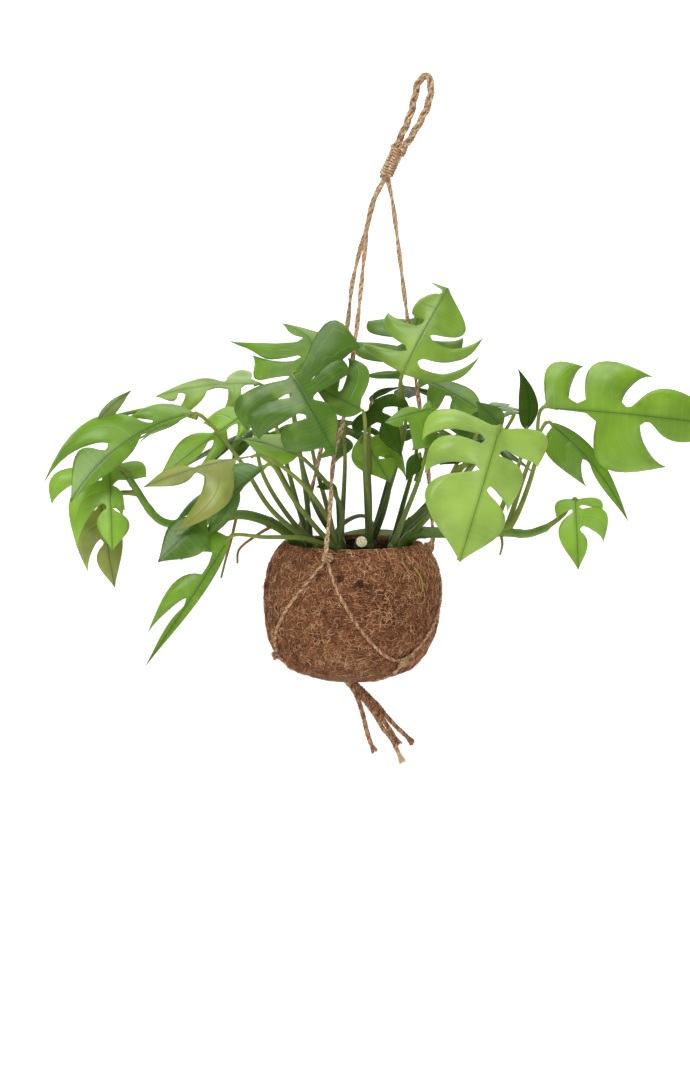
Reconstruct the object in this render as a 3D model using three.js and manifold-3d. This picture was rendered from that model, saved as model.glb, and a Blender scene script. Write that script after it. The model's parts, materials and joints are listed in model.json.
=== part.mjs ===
// A young climbing aroid with split leaves, rooted in a ball of soil that is wrapped in coconut fibre
// and hung in a net of jute cord. Millimetres, +Z up, +X right and +Y away from the front.
// The plant is laid out from its crown, the middle of the wrap's mouth, and the whole model is then
// moved so that its origin is the top of the hanging loop.

import * as THREE from 'three';
import { mergeVertices } from 'three/addons/utils/BufferGeometryUtils.js';
import Module from 'manifold-3d';

const wasm = await Module();
wasm.setup();

// Driving dimensions of the ball.
const BALL_RADIUS = 75;
const BALL_HEIGHT = 118;
const MOUTH_RADIUS = 56;
const WALL = 7;
const FLAT_SPOT_RADIUS = 22;
const SOIL_DEPTH = 8;
const GAP = 0.4;

// Driving dimensions of the cord net.
const STRAND = 3;
const PAIR = 4.4;
const LOOP_TOP = [63, 0, 401];
const FIRST_LEG_ANGLE = 12;
const SHOULDER_Z = -7;
const LOWER_KNOT_Z = -93.5;
const SHOULDER_KNOT = 5;
const LOWER_KNOT = 4.6;
const BASE_KNOT = 6;

// Driving dimensions of the plant.
const BLADE = 1;
const ROOT_DEPTH = 28;
const PETIOLE = [3, 1.3];
const PETIOLE_SIDES = 5;
const THREAD = [1.2, 0.8];
const THREAD_SIDES = 4;
const BALL_SIDES = 24;
const SCRAP = 10;
const SLIVER = 0.03;
const STEM_SIDES = 8;

const FINISH = {
  coir: { color: 0x7a5238, roughness: 0.95 },
  soil: { color: 0x2c2119, roughness: 1 },
  jute: { color: 0xb5946c, roughness: 0.9 },
  leaf: { color: 0x6f9a45, roughness: 0.45 },
  cut: { color: 0xc8be96, roughness: 0.8 },
};

const radians = THREE.MathUtils.degToRad;
const VIEW_TILT = Math.tan(radians(6.5));
const FULL_RISE = 60;
const vector = ([x, y, z]) => new THREE.Vector3(x, y, z);
const along = (points) => new THREE.CatmullRomCurve3(points.map(vector), false, 'centripetal');

function material(finish) {
  return new THREE.MeshStandardMaterial({ ...FINISH[finish], metalness: 0 });
}

// Closed geometry to solid and back, for the joins and cuts.
function solidOf(geometry) {
  const bare = geometry.clone();
  bare.deleteAttribute('normal');
  bare.deleteAttribute('uv');
  const merged = mergeVertices(bare, 1e-4);
  return new wasm.Manifold(
    new wasm.Mesh({
      numProp: 3,
      vertProperties: new Float32Array(merged.attributes.position.array),
      triVerts: new Uint32Array(merged.index.array),
    }),
  );
}

// A join leaves slivers where two faces nearly meet, and these are closed up before it is drawn.
function geometryOf(solid) {
  const mesh = solid.simplify(SLIVER).getMesh();
  const geometry = new THREE.BufferGeometry();
  geometry.setAttribute('position', new THREE.BufferAttribute(new Float32Array(mesh.vertProperties), 3));
  geometry.setIndex(new THREE.BufferAttribute(new Uint32Array(mesh.triVerts), 1));
  geometry.computeVertexNormals();
  return geometry;
}

// Joins pieces that run into each other, without the scraps that a lobe's fine point may leave.
function joined(geometries) {
  const whole = geometries.map(solidOf).reduce((sum, next) => sum.add(next));
  return whole.decompose().filter((body) => body.volume() > SCRAP).reduce((sum, next) => sum.add(next));
}

// A round section pushed along a smooth line, its radius running from the first to the last value.
function tube(points, radii, sides, steps) {
  const path = along(points);
  const [start, end] = [radii[0], radii[radii.length - 1]];
  const ring = Array.from({ length: sides }, (_, i) => {
    const turn = (2 * Math.PI * i) / sides;
    return new THREE.Vector2(start * Math.cos(turn), start * Math.sin(turn));
  });
  const geometry = new THREE.ExtrudeGeometry(new THREE.Shape(ring), { steps, extrudePath: path });
  if (start === end) return geometry;
  const middles = path.getSpacedPoints(steps);
  const position = geometry.attributes.position;
  const point = new THREE.Vector3();
  for (let i = 0; i < position.count; i += 1) {
    point.fromBufferAttribute(position, i);
    const away = middles.map((middle) => middle.distanceToSquared(point));
    const nearest = away.indexOf(Math.min(...away));
    const size = THREE.MathUtils.lerp(start, end, nearest / steps) / start;
    point.sub(middles[nearest]).multiplyScalar(size).add(middles[nearest]);
    position.setXYZ(i, point.x, point.y, point.z);
  }
  return geometry;
}

// The ball: its outer side as radius and height from the mouth down, and the wrap's wall inside it.
const OUTSIDE = [
  [MOUTH_RADIUS + 3, 0],
  [MOUTH_RADIUS + 9, -7],
  [BALL_RADIUS - 4, -19],
  [BALL_RADIUS - 0.8, -34],
  [BALL_RADIUS, -50],
  [BALL_RADIUS - 2, -69],
  [BALL_RADIUS - 6, -82],
  [BALL_RADIUS - 14, -96],
  [BALL_RADIUS - 27, -109],
  [FLAT_SPOT_RADIUS, -BALL_HEIGHT],
];

function ballRadius(z) {
  const i = Math.max(1, OUTSIDE.findIndex(([, height]) => height <= z));
  const [[upperRadius, upperZ], [lowerRadius, lowerZ]] = [OUTSIDE[i - 1], OUTSIDE[i]];
  return THREE.MathUtils.mapLinear(z, upperZ, lowerZ, upperRadius, lowerRadius);
}

// The outside again, moved inwards by a distance and cut off at a height.
function inside(distance, top) {
  return OUTSIDE.filter(([, z]) => z < top)
    .map(([radius, z], i, list) => {
      const [before, after] = [list[Math.max(0, i - 1)], list[Math.min(list.length - 1, i + 1)]];
      const slope = new THREE.Vector2(after[0] - before[0], after[1] - before[1]).normalize();
      return [radius + slope.y * distance, z - slope.x * distance];
    });
}

function turned(profile, segments) {
  return new THREE.LatheGeometry(profile.map(([r, z]) => new THREE.Vector2(r, z)), segments)
    .rotateX(Math.PI / 2);
}

function coirWrap() {
  const outer = [...OUTSIDE].reverse();
  const inner = inside(WALL, -5);
  const lip = [[MOUTH_RADIUS, 0.5], [MOUTH_RADIUS - 3, -2.5], [MOUTH_RADIUS - 2, -6]];
  const floor = -BALL_HEIGHT + WALL;
  return turned([[0, -BALL_HEIGHT], ...outer, ...lip, ...inner.slice(0, -1), [18, floor], [0, floor]], BALL_SIDES);
}

// The soil fills the wrap to a little under its mouth, with a plain hole for each stem.
function soilBall(roots) {
  const wall = inside(WALL + GAP, -12);
  const floor = -BALL_HEIGHT + WALL + GAP;
  const rim = MOUTH_RADIUS - 2.6;
  const profile = [
    [0, floor], [17, floor], ...wall.slice(0, -1).reverse(), [rim, -10.5], [rim, -SOIL_DEPTH - 1], [0, -SOIL_DEPTH],
  ];
  return roots.reduce((soil, { at: [x, y], radius }) => {
    const hole = new THREE.CylinderGeometry(radius + GAP, radius + GAP, 2 * ROOT_DEPTH, STEM_SIDES + 2)
      .rotateX(Math.PI / 2)
      .translate(x, y, -SOIL_DEPTH);
    return soil.subtract(solidOf(hole));
  }, solidOf(turned(profile, BALL_SIDES)));
}

const mix = (p, q, t) => [p[0] + (q[0] - p[0]) * t, p[1] + (q[1] - p[1]) * t];
const bend = (p, c, q, t) => mix(mix(p, c, t), mix(c, q, t), t);

// One half of a blade in shares of its length: the edge of the band beside the midrib, from the base
// to the tip, and the lobes that leave it. `side` is 1 on the left and -1 on the right. A lobe is its
// tip along and across the leaf, where its root starts and ends on the midrib, and how far it swells.
function halfBlade(side, tips, width, cut) {
  const edge = [];
  const lobes = [];
  tips.forEach(([along, across, from, to, swell = 0.22], i) => {
    const band = side * Math.max(0.025, cut * Math.abs(across));
    const tip = [along, across];
    const near = [from + 0.015, from < 0.05 && i === 0 ? band * 0.5 : band];
    const far = [to, band];
    const out = [-Math.abs(across), side * (along - (from + to) / 2)];
    const nearBend = [near[0] + (along - near[0]) * 0.2 + out[0] * swell, across * 1.16 + out[1] * swell];
    const farBend = [far[0] + (along - far[0]) * 0.1, across * 0.66];
    const next = i + 1 < tips.length ? tips[i + 1][2] : to + 0.05;
    if (i === 0 && from > 0.08) edge.push([from - 0.04, side * 0.012]);
    lobes.push({ root: edge.length, at: (t) => [bend(near, nearBend, tip, t), bend(far, farBend, tip, t)] });
    edge.push(near, far, [(to + next) / 2 + 0.005, band * 0.55]);
  });
  const end = tips.length ? tips[tips.length - 1][3] + 0.06 : 0.06;
  const start = [end, side * width * (tips.length ? 0.3 : 0.45)];
  const bulge = [end + (1 - end) * 0.3, side * width * 1.9];
  edge.push(...[0, 0.3, 0.6, 0.85].map((t) => bend(start, bulge, [1, 0], t)));
  return { edge, lobes };
}

const bowAt = (bow, along) => bow * 4 * Math.max(0, along * (1 - along));

// A split leaf blade. It is drawn flat, in a plane given by its base, its tip and the side it faces,
// and then lifted off that plane. `width` is half the end lobe's breadth on the left and the right,
// `cut` is how deep the slits go and `bow` bends the midrib to the left.
function bladeGeometry({
  base, tip, facing, lobes, cut = 0.24, width = [0.17, 0.17], bow = 0, fold = 0.15, arch = 0.05, curl = 0.18,
  rows = [0.4, 0.75],
}) {
  const length = base.distanceTo(tip);
  const forward = tip.clone().sub(base).normalize();
  const up = facing.clone().addScaledVector(forward, -facing.dot(forward)).normalize();
  const across = new THREE.Vector3().crossVectors(up, forward);
  const points = [];
  const faces = [];
  const place = ([a, b], reach = 0) => {
    const lift = arch * 4 * a * (1 - a) - fold * Math.abs(b) - curl * reach * reach * Math.hypot(a, b);
    return base.clone().addScaledVector(forward, a * length)
      .addScaledVector(across, (b + bowAt(bow, a)) * length)
      .addScaledVector(up, lift * length);
  };
  const add = (point, reach) => points.push(place(point, reach)) - 1;

  const halves = [1, -1].map((side, i) => {
    const tips = lobes.filter((lobe) => lobe[1] * side > 0).sort((p, q) => p[2] - q[2]);
    return halfBlade(side, tips, width[i], cut);
  });
  const stations = [0, ...halves.flatMap(({ edge }) => edge.map(([a]) => a)), 1].sort((p, q) => p - q);
  const ribAt = stations.filter((a, i) => i === 0 || a - stations[i - 1] > 0.03);
  ribAt[ribAt.length - 1] = 1;
  const rib = ribAt.map((a) => add([a, 0]));

  for (const { edge, lobes: bothLobes } of halves) {
    const rim = edge.map((point) => add(point));
    let [i, j] = [0, 0];
    while (i < rib.length - 1 || j < rim.length - 1) {
      if (j === rim.length - 1 || (i < rib.length - 1 && ribAt[i + 1] <= edge[j + 1][0])) {
        faces.push([rib[i], rim[j], rib[i + 1]]);
        i += 1;
      } else {
        faces.push([rib[i], rim[j], rim[j + 1]]);
        j += 1;
      }
    }
    for (const { root, at } of bothLobes) {
      let row = [rim[root], rim[root + 1]];
      rows.forEach((t) => {
        const next = at(t).map((point) => add(point, t));
        faces.push([row[0], next[0], next[1]], [row[0], next[1], row[1]]);
        row = next;
      });
      faces.push([row[0], add(at(1)[0], 1), row[1]]);
    }
  }
  const heel = place([0.08, 0]).addScaledVector(across, 0.1).addScaledVector(up, -0.2);
  return { blade: thickened(points, faces, up), heel: heel.toArray() };
}

// A sheet of triangles made a plate: the same triangles on both faces, and a strip round the edge.
function thickened(points, faces, up) {
  const count = points.length;
  const lift = up.clone().multiplyScalar(BLADE / 2);
  const position = [
    ...points.map((point) => point.clone().add(lift)),
    ...points.map((point) => point.clone().sub(lift)),
  ].flatMap((point) => point.toArray());
  const facesUp = faces.map(([a, b, c]) => {
    const [p, q, r] = [points[a], points[b], points[c]];
    const normal = new THREE.Vector3().crossVectors(q.clone().sub(p), r.clone().sub(p));
    return normal.dot(up) > 0 ? [a, b, c] : [a, c, b];
  });
  const used = new Set(facesUp.flatMap(([a, b, c]) => [`${a} ${b}`, `${b} ${c}`, `${c} ${a}`]));
  const index = [];
  for (const [a, b, c] of facesUp) {
    index.push(a, b, c, a + count, c + count, b + count);
    for (const [p, q] of [[a, b], [b, c], [c, a]]) {
      if (!used.has(`${q} ${p}`)) index.push(p, p + count, q, q, p + count, q + count);
    }
  }
  const geometry = new THREE.BufferGeometry();
  geometry.setAttribute('position', new THREE.Float32BufferAttribute(position, 3));
  geometry.setIndex(index);
  return geometry;
}

// The plant is laid out as it is seen, from a little above, so what stands nearer is in truth higher.
// Close to the ball this fades out.
function asSeen([x, y, z]) {
  return [x, y, z - y * VIEW_TILT * THREE.MathUtils.clamp(z / FULL_RISE, 0, 1)];
}

// A leaf seen from the front: its base as [x, y, z], its tip as [x, z], its lobes as [x, z] and their
// roots, and how fast its plane runs back to the right and upwards.
function frontLeaf({ base, tip, lobes = [], slope = [0, 0.4], bow = 0, ...shape }) {
  const foot = vector(asSeen(base));
  const depth = (x, z) => base[1] + slope[0] * (x - base[0]) + slope[1] * (z - base[2]);
  const onPlane = ([x, z]) => vector(asSeen([x, depth(x, z), z]));
  const facing = new THREE.Vector3(slope[0], -1, slope[1]).normalize();
  const end = onPlane(tip);
  const length = foot.distanceTo(end);
  const forward = end.clone().sub(foot).normalize();
  const across = new THREE.Vector3().crossVectors(facing, forward);
  const shares = lobes.map(([x, z, ...root]) => {
    const away = onPlane([x, z]).sub(foot);
    const along = away.dot(forward) / length;
    return [along, away.dot(across) / length - bowAt(bow, along), ...root];
  });
  return bladeGeometry({ base: foot, tip: end, facing, lobes: shares, bow, ...shape });
}

// A leaf of the usual outline, placed by its base, its tip and the side it faces.
const USUAL_LOBES = [[0.14, 0.4, 0, 0.12], [0.52, 0.46, 0.2, 0.38], [0.2, -0.42, 0.02, 0.15], [0.6, -0.42, 0.24, 0.42]];

function freeLeaf({ base, tip, facing, lobes = USUAL_LOBES, ...shape }) {
  const [foot, end] = [vector(asSeen(base)), vector(asSeen(tip))];
  return bladeGeometry({ base: foot, tip: end, facing: vector(facing), lobes, rows: [0.6], ...shape });
}

// The leafy stems. Each stands in the soil at `root` and forks into its leaves, whose petioles are
// given from the leaf down, and its runners. A leaf with `facing` lies on its own plane, and any
// other is laid out as the front shows it. `thread` is a thin aerial root or a shoot.
const PLANT = [
  {
    name: 'leafy_stem_left_front',
    root: [-30, -22],
    radius: 5,
    leaves: [
      {
        base: [-131, -48, 110], tip: [-234, 38],
        lobes: [[-190, 104, 0, 0.26, 0.4], [-255, 50, 0.3, 0.68, 0.6], [-182, 87, 0.1, 0.34]],
        slope: [0.1, 0.5], width: [0.09, 0.16], bow: -0.1, petiole: [[-96, -42, 72], [-68, -34, 30]],
      },
      {
        base: [-214, -55, 102], tip: [-184, 128], slope: [0, -0.6], width: [0.09, 0.16], arch: -0.1,
        petiole: [[-196, -50, 108], [-160, -40, 114]], joins: [-130, -47, 107],
      },
      {
        base: [-87, -22, 112], tip: [-163, 54], lobes: [[-126, 104, 0, 0.34], [-131, 65, 0.26, 0.42], [-100, 88, 0, 0.16]],
        slope: [0.1, 0.6], width: [0.06, 0.14], petiole: [[-76, -24, 60], [-52, -24, 22]],
      },
    ],
  },
  {
    name: 'leafy_stem_left_back',
    root: [-36, 8],
    radius: 5,
    leaves: [
      {
        base: [-77, 25, 137], tip: [-167, 126], lobes: [[-98, 155, 0.06, 0.3], [-112, 120, 0.2, 0.34, 0.05], [-180, 113, 0.52, 0.74]],
        slope: [0, 2], width: [0.07, 0.13], petiole: [[-62, 22, 90], [-46, 14, 30]],
      },
      {
        base: [-52, -12, 143], tip: [-60, 189], lobes: [[-84, 170, 0, 0.26, 0.1], [-104, 186, 0.34, 0.6, 0.1]],
        slope: [0, 0.7], width: [0.16, 0.5], bow: -0.4, petiole: [[-46, 2, 90], [-38, 8, 30]],
      },
      { base: [-80, 32, 100], tip: [-152, 58, 62], facing: [-0.3, 0.1, 1], petiole: [[-66, 26, 70], [-44, 14, 24]] },
    ],
  },
  {
    name: 'leafy_stem_left_runner',
    root: [-44, -8],
    radius: 5,
    runners: [[[-44, -8, -4], [-58, -12, 12], [-92, -28, 26], [-130, -42, 21], [-160, -50, 22], [-188, -56, 56]]],
    threads: [
      [[-66, -17, 17], [-80, -30, 10], [-96, -36, -2], [-97, -38, -13]],
      [[-98, -30, 24], [-103, -31, 4], [-107, -32, -10], [-111, -33, -26]],
      [[-152, -48, 20], [-154, -50, 6], [-156, -51, -9]],
    ],
    leaves: [
      {
        base: [-204, -55, 66], tip: [-200, 3], lobes: [[-250, 40, 0, 0.12, 0.3], [-228, 9, 0.17, 0.46, 0.4], [-172, 59, 0, 0.18, 0.6], [-192, 28, 0.24, 0.5, 0.3]],
        slope: [0.15, 0.5], width: [0.2, 0.16], petiole: [[-190, -56, 60]], joins: [-184, -55, 50],
      },
      {
        base: [-213, -42, 41], tip: [-200, -32], lobes: [[-223, -19, 0.12, 0.46, 0.4], [-192, 30, 0, 0.14]],
        slope: [0, 0.15], width: [0.17, 0.14], petiole: [[-196, -48, 44]], joins: [-180, -54, 44],
      },
    ],
  },
  {
    name: 'leafy_stem_front',
    root: [-12, -38],
    radius: 4.5,
    leaves: [
      {
        base: [-77, -84, 74], tip: [-173, 49], lobes: [[-150, 28, 0.24, 0.5], [-128, 66, 0.3, 0.52]],
        slope: [-0.1, 1], width: [0.1, 0.1], petiole: [[-45, -70, 54], [-20, -44, 22]],
      },
      {
        base: [-69, -62, 67], tip: [-161, -3], lobes: [[-133, 8, 0.28, 0.55], [-117, 54, 0.06, 0.28], [-148, 28, 0.34, 0.56]],
        slope: [0.1, 0.6], width: [0.15, 0.13], petiole: [[-50, -54, 40], [-24, -42, 10]],
      },
      {
        base: [-101, -92, 14], tip: [-166, -98], lobes: [[-139, -17, 0, 0.16], [-163, -66, 0.28, 0.44, 0.1], [-141, -38, 0.34, 0.54, 0.1]],
        slope: [0.2, 0.2], width: [0.05, 0.03], petiole: [[-74, -76, 12], [-40, -54, 9]],
      },
      {
        base: [-45, -58, 74], tip: [-92, 88], slope: [0, 0.9], width: [0.3, 0.3],
        petiole: [[-20, -40, 50], [-9, -36, 30]],
      },
    ],
  },
  {
    name: 'leafy_stem_middle',
    root: [-10, 0],
    radius: 5,
    leaves: [
      {
        base: [-50, -75, 141], tip: [-14, 74], lobes: [
          [-86, 98, 0, 0.16, 0.5], [-76, 90, 0.2, 0.42, 0.5], [-54, 80, 0.5, 0.86, 0.4], [9, 170, 0, 0.12, 1], [0, 146, 0.14, 0.3, 0.5],
        ],
        slope: [0.1, 0.35], width: [0.22, 0.2], petiole: [[-46, -34, 84], [-30, -14, 30]],
      },
      { base: [-16, 6, 50], tip: [-31, 48], slope: [0, 0.6], width: [0.25, 0.25], petiole: [[-13, 4, 40]] },
      { base: [-8, 55, 108], tip: [-14, 118, 72], facing: [0, 0.4, 1], petiole: [[-6, 44, 78], [-8, 16, 26]] },
    ],
  },
  {
    name: 'leafy_stem_centre',
    root: [14, -22],
    radius: 4.5,
    leaves: [
      {
        base: [9, -55, 112], tip: [-33, 133], lobes: [[-4, 158, 0.1, 0.5]],
        slope: [0, 0.2], width: [0.26, 0.42], petiole: [[11, -42, 60], [15, -26, 20]],
      },
      {
        base: [17, -20, 122], tip: [42, 74], lobes: [[50, 112, 0, 0.2], [4, 92, 0.1, 0.35]],
        slope: [0, 0.2], petiole: [[14, -18, 80], [15, -20, 30]],
      },
      {
        base: [8, -6, 92], tip: [32, 52], lobes: [[46, 58, 0.1, 0.5, 0.6]],
        slope: [0, 0.3], width: [0.3, 0.36], petiole: [[10.6, -11, 62], [13, -18, 20]],
      },
    ],
  },
  {
    name: 'leafy_stem_right_front',
    root: [34, -30],
    radius: 4.5,
    leaves: [
      {
        base: [68, -45, 114], tip: [27, 102], lobes: [[50, 81, 0.05, 0.55, 0.4], [64, 121, 0, 0.2]],
        slope: [0, 0.4], petiole: [[58, -40, 60], [42, -34, 20]],
      },
      { base: [57, -38, 76], tip: [45, 53], slope: [0, 0.3], width: [0.24, 0.24], petiole: [[56.6, -38.6, 66]], joins: [55, -38, 53] },
    ],
  },
  {
    name: 'leafy_stem_upright',
    root: [16, 4],
    radius: 5,
    leaves: [
      {
        base: [42, -16, 144], tip: [82, 218], lobes: [
          [24, 165, 0, 0.14, 0.1], [30, 198, 0.2, 0.46, 0.3], [58, 213, 0.56, 0.8, 0.2],
          [107, 164, 0, 0.14], [109, 178, 0.2, 0.42],
        ],
        slope: [-0.1, 0.3], width: [0.2, 0.36], petiole: [[39, -2, 97], [28, 2, 30]],
      },
      {
        base: [42, 28, 140], tip: [60, 205], lobes: [[14, 147, 0, 0.1], [4, 176, 0.18, 0.42], [16, 193, 0.52, 0.74], [96, 180, 0.36, 0.6]],
        slope: [0, 0.3], width: [0.1, 0.1], petiole: [[46, 22, 104], [30, 12, 40]],
      },
      { base: [44, 44, 136], tip: [50, 108, 128], facing: [0, 0.1, 1], petiole: [[42, 34, 100], [26, 14, 34]] },
    ],
  },
  {
    name: 'leafy_stem_right_back',
    root: [36, 24],
    radius: 4.5,
    runners: [[[36, 24, -4], [44, 24, 10], [60, 28, 24], [80, 34, 36]]],
    leaves: [
      {
        base: [110, 14, 114], tip: [57, 144], lobes: [[86, 104, 0.05, 0.4], [66, 118, 0.5, 0.78]],
        slope: [0, 0.8], width: [0.14, 0.2], petiole: [[92, 22, 60], [58, 26, 22]],
      },
      {
        base: [122, 40, 104], tip: [72, 106], slope: [0, 0.4], width: [0.3, 0.24],
        petiole: [[104, 38, 66], [62, 28, 22]],
      },
      { base: [60, 62, 104], tip: [84, 130, 72], facing: [0.2, 0.3, 1], petiole: [[54, 50, 70], [42, 32, 24]] },
      { base: [104, 52, 96], tip: [158, 84, 62], facing: [0.3, 0, 1], petiole: [[84, 46, 56], [52, 32, 18]] },
      { base: [140, 46, 112], tip: [122, 96, 124], facing: [0, 0, 1], petiole: [[122, 48, 84]], joins: [88, 47, 62] },
    ],
  },
  {
    name: 'leafy_stem_right_runner',
    root: [42, -6],
    radius: 5.5,
    runners: [[[42, -6, -4], [52, -10, 8], [84, -12, 10], [131, -9, 10], [150, -9, 9], [166, -9, 14]]],
    threads: [
      [[92, -13, 8], [92, -14, -4], [90, -15, -13]],
      [[127, -10, 8], [128, -12, 0], [126, -12, -9]],
    ],
    leaves: [
      {
        base: [124, -66, 99], tip: [89, -4], lobes: [
          [62, 86, 0, 0.1, 0.5], [66, 56, 0.15, 0.32, 0.3], [73, 40, 0.4, 0.7, 0.4],
          [155, 62, 0, 0.14, 0.8], [129, 35, 0.2, 0.48, 0.6],
        ],
        slope: [0.1, 0.35], width: [0.1, 0.28], petiole: [[101, -46, 67], [68, -24, 28]],
      },
      { base: [126, -44, 98], tip: [104, 120], slope: [0.3, 0.4], width: [0.35, 0.35], petiole: [[112, -48, 80]], joins: [101, -46, 67] },
      { base: [97, -54, 79], tip: [73, 66], width: [0.24, 0.24], petiole: [[100, -50, 75]], joins: [101, -46, 67] },
      {
        base: [162, 0, 116], tip: [328, 99], lobes: [[200, 155, 0, 0.13, 0.4], [260, 147, 0.2, 0.4, 0.5], [271, 70, 0.26, 0.5, 0.6]],
        slope: [0.1, 0.35], width: [0.16, 0.11], petiole: [[156, -4, 69], [141, -8, 26]], joins: [131, -9, 10],
      },
      {
        base: [190, -10, 39], tip: [192, -20], lobes: [[175, 22, 0, 0.16, 0.5], [213, 28, 0, 0.1, 0.4], [214, 4, 0.14, 0.4, 0.6]],
        slope: [0, 0.3], width: [0.14, 0.25], petiole: [[180, -9, 25]], joins: [164, -9, 13],
      },
      {
        base: [168, 28, 105], tip: [237, 17], lobes: [[202, 49, 0.04, 0.4, 0.5]],
        slope: [0, 0.2], width: [0.08, 0.05], bow: 0.06, petiole: [[152, 18, 70], [136, 0, 24]], joins: [131, -9, 10],
      },
      {
        base: [150, 34, 98], tip: [143, 151],
        slope: [0.5, 0.2], width: [0.18, 0.16], bow: -0.1, petiole: [[144, 26, 70], [128, 4, 30]], joins: [120, -9, 10],
      },
    ],
  },
  {
    name: 'leafy_stem_back',
    root: [-16, 38],
    radius: 4.5,
    leaves: [
      { base: [-40, 66, 108], tip: [-70, 126, 84], facing: [-0.2, 0.3, 1], petiole: [[-32, 54, 70], [-20, 42, 22]] },
      { base: [20, 82, 6], tip: [36, 112, -74], facing: [0.3, 1, 0.3], petiole: [[10, 72, 18], [-8, 50, 12]] },
    ],
  },
];

function leafyStem({ root: [x, y], radius, runners = [], threads = [], leaves = [] }) {
  const hub = [x, y, -1];
  const pieces = [tube([[x, y, -ROOT_DEPTH], hub, [x, y, 3]], [radius], STEM_SIDES, 2)];
  for (const runner of runners) {
    pieces.push(tube(runner.map(asSeen), [radius * 0.93, radius * 0.6], STEM_SIDES, runner.length + 3));
  }
  for (const thread of threads) pieces.push(tube(thread.map(asSeen), THREAD, THREAD_SIDES, thread.length + 1));
  for (const { petiole, joins = hub, ...leaf } of leaves) {
    const { blade, heel } = leaf.facing ? freeLeaf(leaf) : frontLeaf(leaf);
    const path = [...[joins, ...petiole.toReversed(), leaf.base].map(asSeen), heel];
    pieces.push(tube(path, PETIOLE, PETIOLE_SIDES, path.length + 1), blade);
  }
  return joined(pieces);
}

// The cut end of an old stem, which stands in the soil and points to the front.
const CUT_STEM = [[6, -30, -ROOT_DEPTH], [6, -30, -14], [6, -30, -5], [7, -36, 4], [8, -48, 6.5]];

// The cord net. Its routes are lists of points, and each cord ends just clear of its knots.
const WRAP_FOOT = [27, 0, 310];
const WRAP_HEAD = [41, 0, 339];
const OUTER_LOOP = [
  [37, 341.3], [40, 348], [46, 361], [50.5, 373], [52, 386], [56, 397], [63, 401],
  [69, 397], [70.5, 388], [68.5, 377], [62, 364], [53, 350], [47.5, 342], [45.2, 337.3],
];
const INNER_LOOP = [
  [39.6, 340], [42.5, 346], [48.5, 359], [53.5, 372], [55.2, 385], [58.5, 394], [63, 397.6],
  [66.3, 394.5], [67, 387], [65, 378], [59, 366.5], [50, 352], [45, 343.5], [42.6, 338.6],
];
const LOOPS = {
  loop_cord_front: { outline: OUTER_LOOP, y: -1.75 },
  loop_cord_middle: { outline: INNER_LOOP, y: 0 },
  loop_cord_back: { outline: OUTER_LOOP, y: 1.75 },
};
const LEGS = {
  leg_right: [[30.9, 0, 306.8], [34, 1, 292], [45, 5, 208], [55, 9, 135], [63, 12, 80], [68.5, 14, 20], [68.9, 14.7, -0.6]],
  leg_left_back: [[26.8, 2.6, 309], [20, 5, 294], [1, 20, 225], [-5, 28, 178], [-26, 38, 80], [-38, 45, 30], [-47.2, 52.4, -0.6]],
  leg_front: [[26.8, -2.6, 309], [18, -8, 294], [3, -28, 178], [-7, -42, 111], [-15, -50, 80], [-19, -61, 30], [-21.8, -67, -0.6]],
};
const TAILS = {
  tail_left: [[-2.4, -4.5, -130.5], [3, -6, -139], [10, -7, -151], [14, -7, -165], [15, -7, -171], [19, -7, -179]],
  tail_long: [[1.3, -2.7, -129.3], [9, -4, -138], [20, -5, -151], [29, -5, -161], [36, -4, -171], [44, -3, -190]],
  tail_short: [[0.5, 1.2, -129.9], [8, 3, -142], [22, 4, -158], [34, 4, -168], [41, 4, -174]],
  tail_right: [[3.2, -0.3, -127.2], [13, 0, -131], [21, 1, -137], [31, 1, -149], [39, 1, -161], [51, 1, -173]],
};
const BASE_CENTRE = [-1.7, -1, -BALL_HEIGHT - BASE_KNOT - GAP];
const LEG_ANGLES = [0, 1, 2].map((i) => FIRST_LEG_ANGLE + 120 * i);

function onBall(angle, z, off) {
  const radius = ballRadius(z) + off;
  return [radius * Math.cos(radians(angle)), radius * Math.sin(radians(angle)), z];
}

function knot(radius, [x, y, z]) {
  return new THREE.SphereGeometry(radius, 8, 6).rotateX(Math.PI / 2).scale(1, 1, 1.15).translate(x, y, z);
}

// A net strand runs down the ball from a shoulder knot to a lower knot a sixth of a turn away, and
// `drop` says how soon it falls.
function netStrand(angle, turn, drop) {
  const shoulder = vector(onBall(angle, SHOULDER_Z, SHOULDER_KNOT + GAP));
  const lower = vector(onBall(angle + turn, LOWER_KNOT_Z, LOWER_KNOT + GAP));
  const points = Array.from({ length: 25 }, (_, i) => {
    const part = i / 24;
    const z = SHOULDER_Z + (LOWER_KNOT_Z - SHOULDER_Z) * (1 - (1 - part) ** drop);
    return onBall(angle + turn * part, z, STRAND / 2 + GAP + 0.3);
  }).filter((point) => {
    const here = vector(point);
    return here.distanceTo(shoulder) > SHOULDER_KNOT * 1.15 + 1.6 && here.distanceTo(lower) > LOWER_KNOT * 1.15 + 1.6;
  });
  return tube(points, [STRAND / 2], STEM_SIDES, 9);
}

function baseRun(angle) {
  const off = PAIR / 2 + GAP;
  const out = (radius, z) => [radius * Math.cos(radians(angle)), radius * Math.sin(radians(angle)), z];
  const under = -BALL_HEIGHT - off;
  return tube(
    [onBall(angle, LOWER_KNOT_Z - 8.5, off + 1), out(49.6, -111.8), out(36, under + 3.6), out(23, under), out(10, under - 0.4)],
    [PAIR / 2],
    STEM_SIDES,
    6,
  );
}

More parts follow.
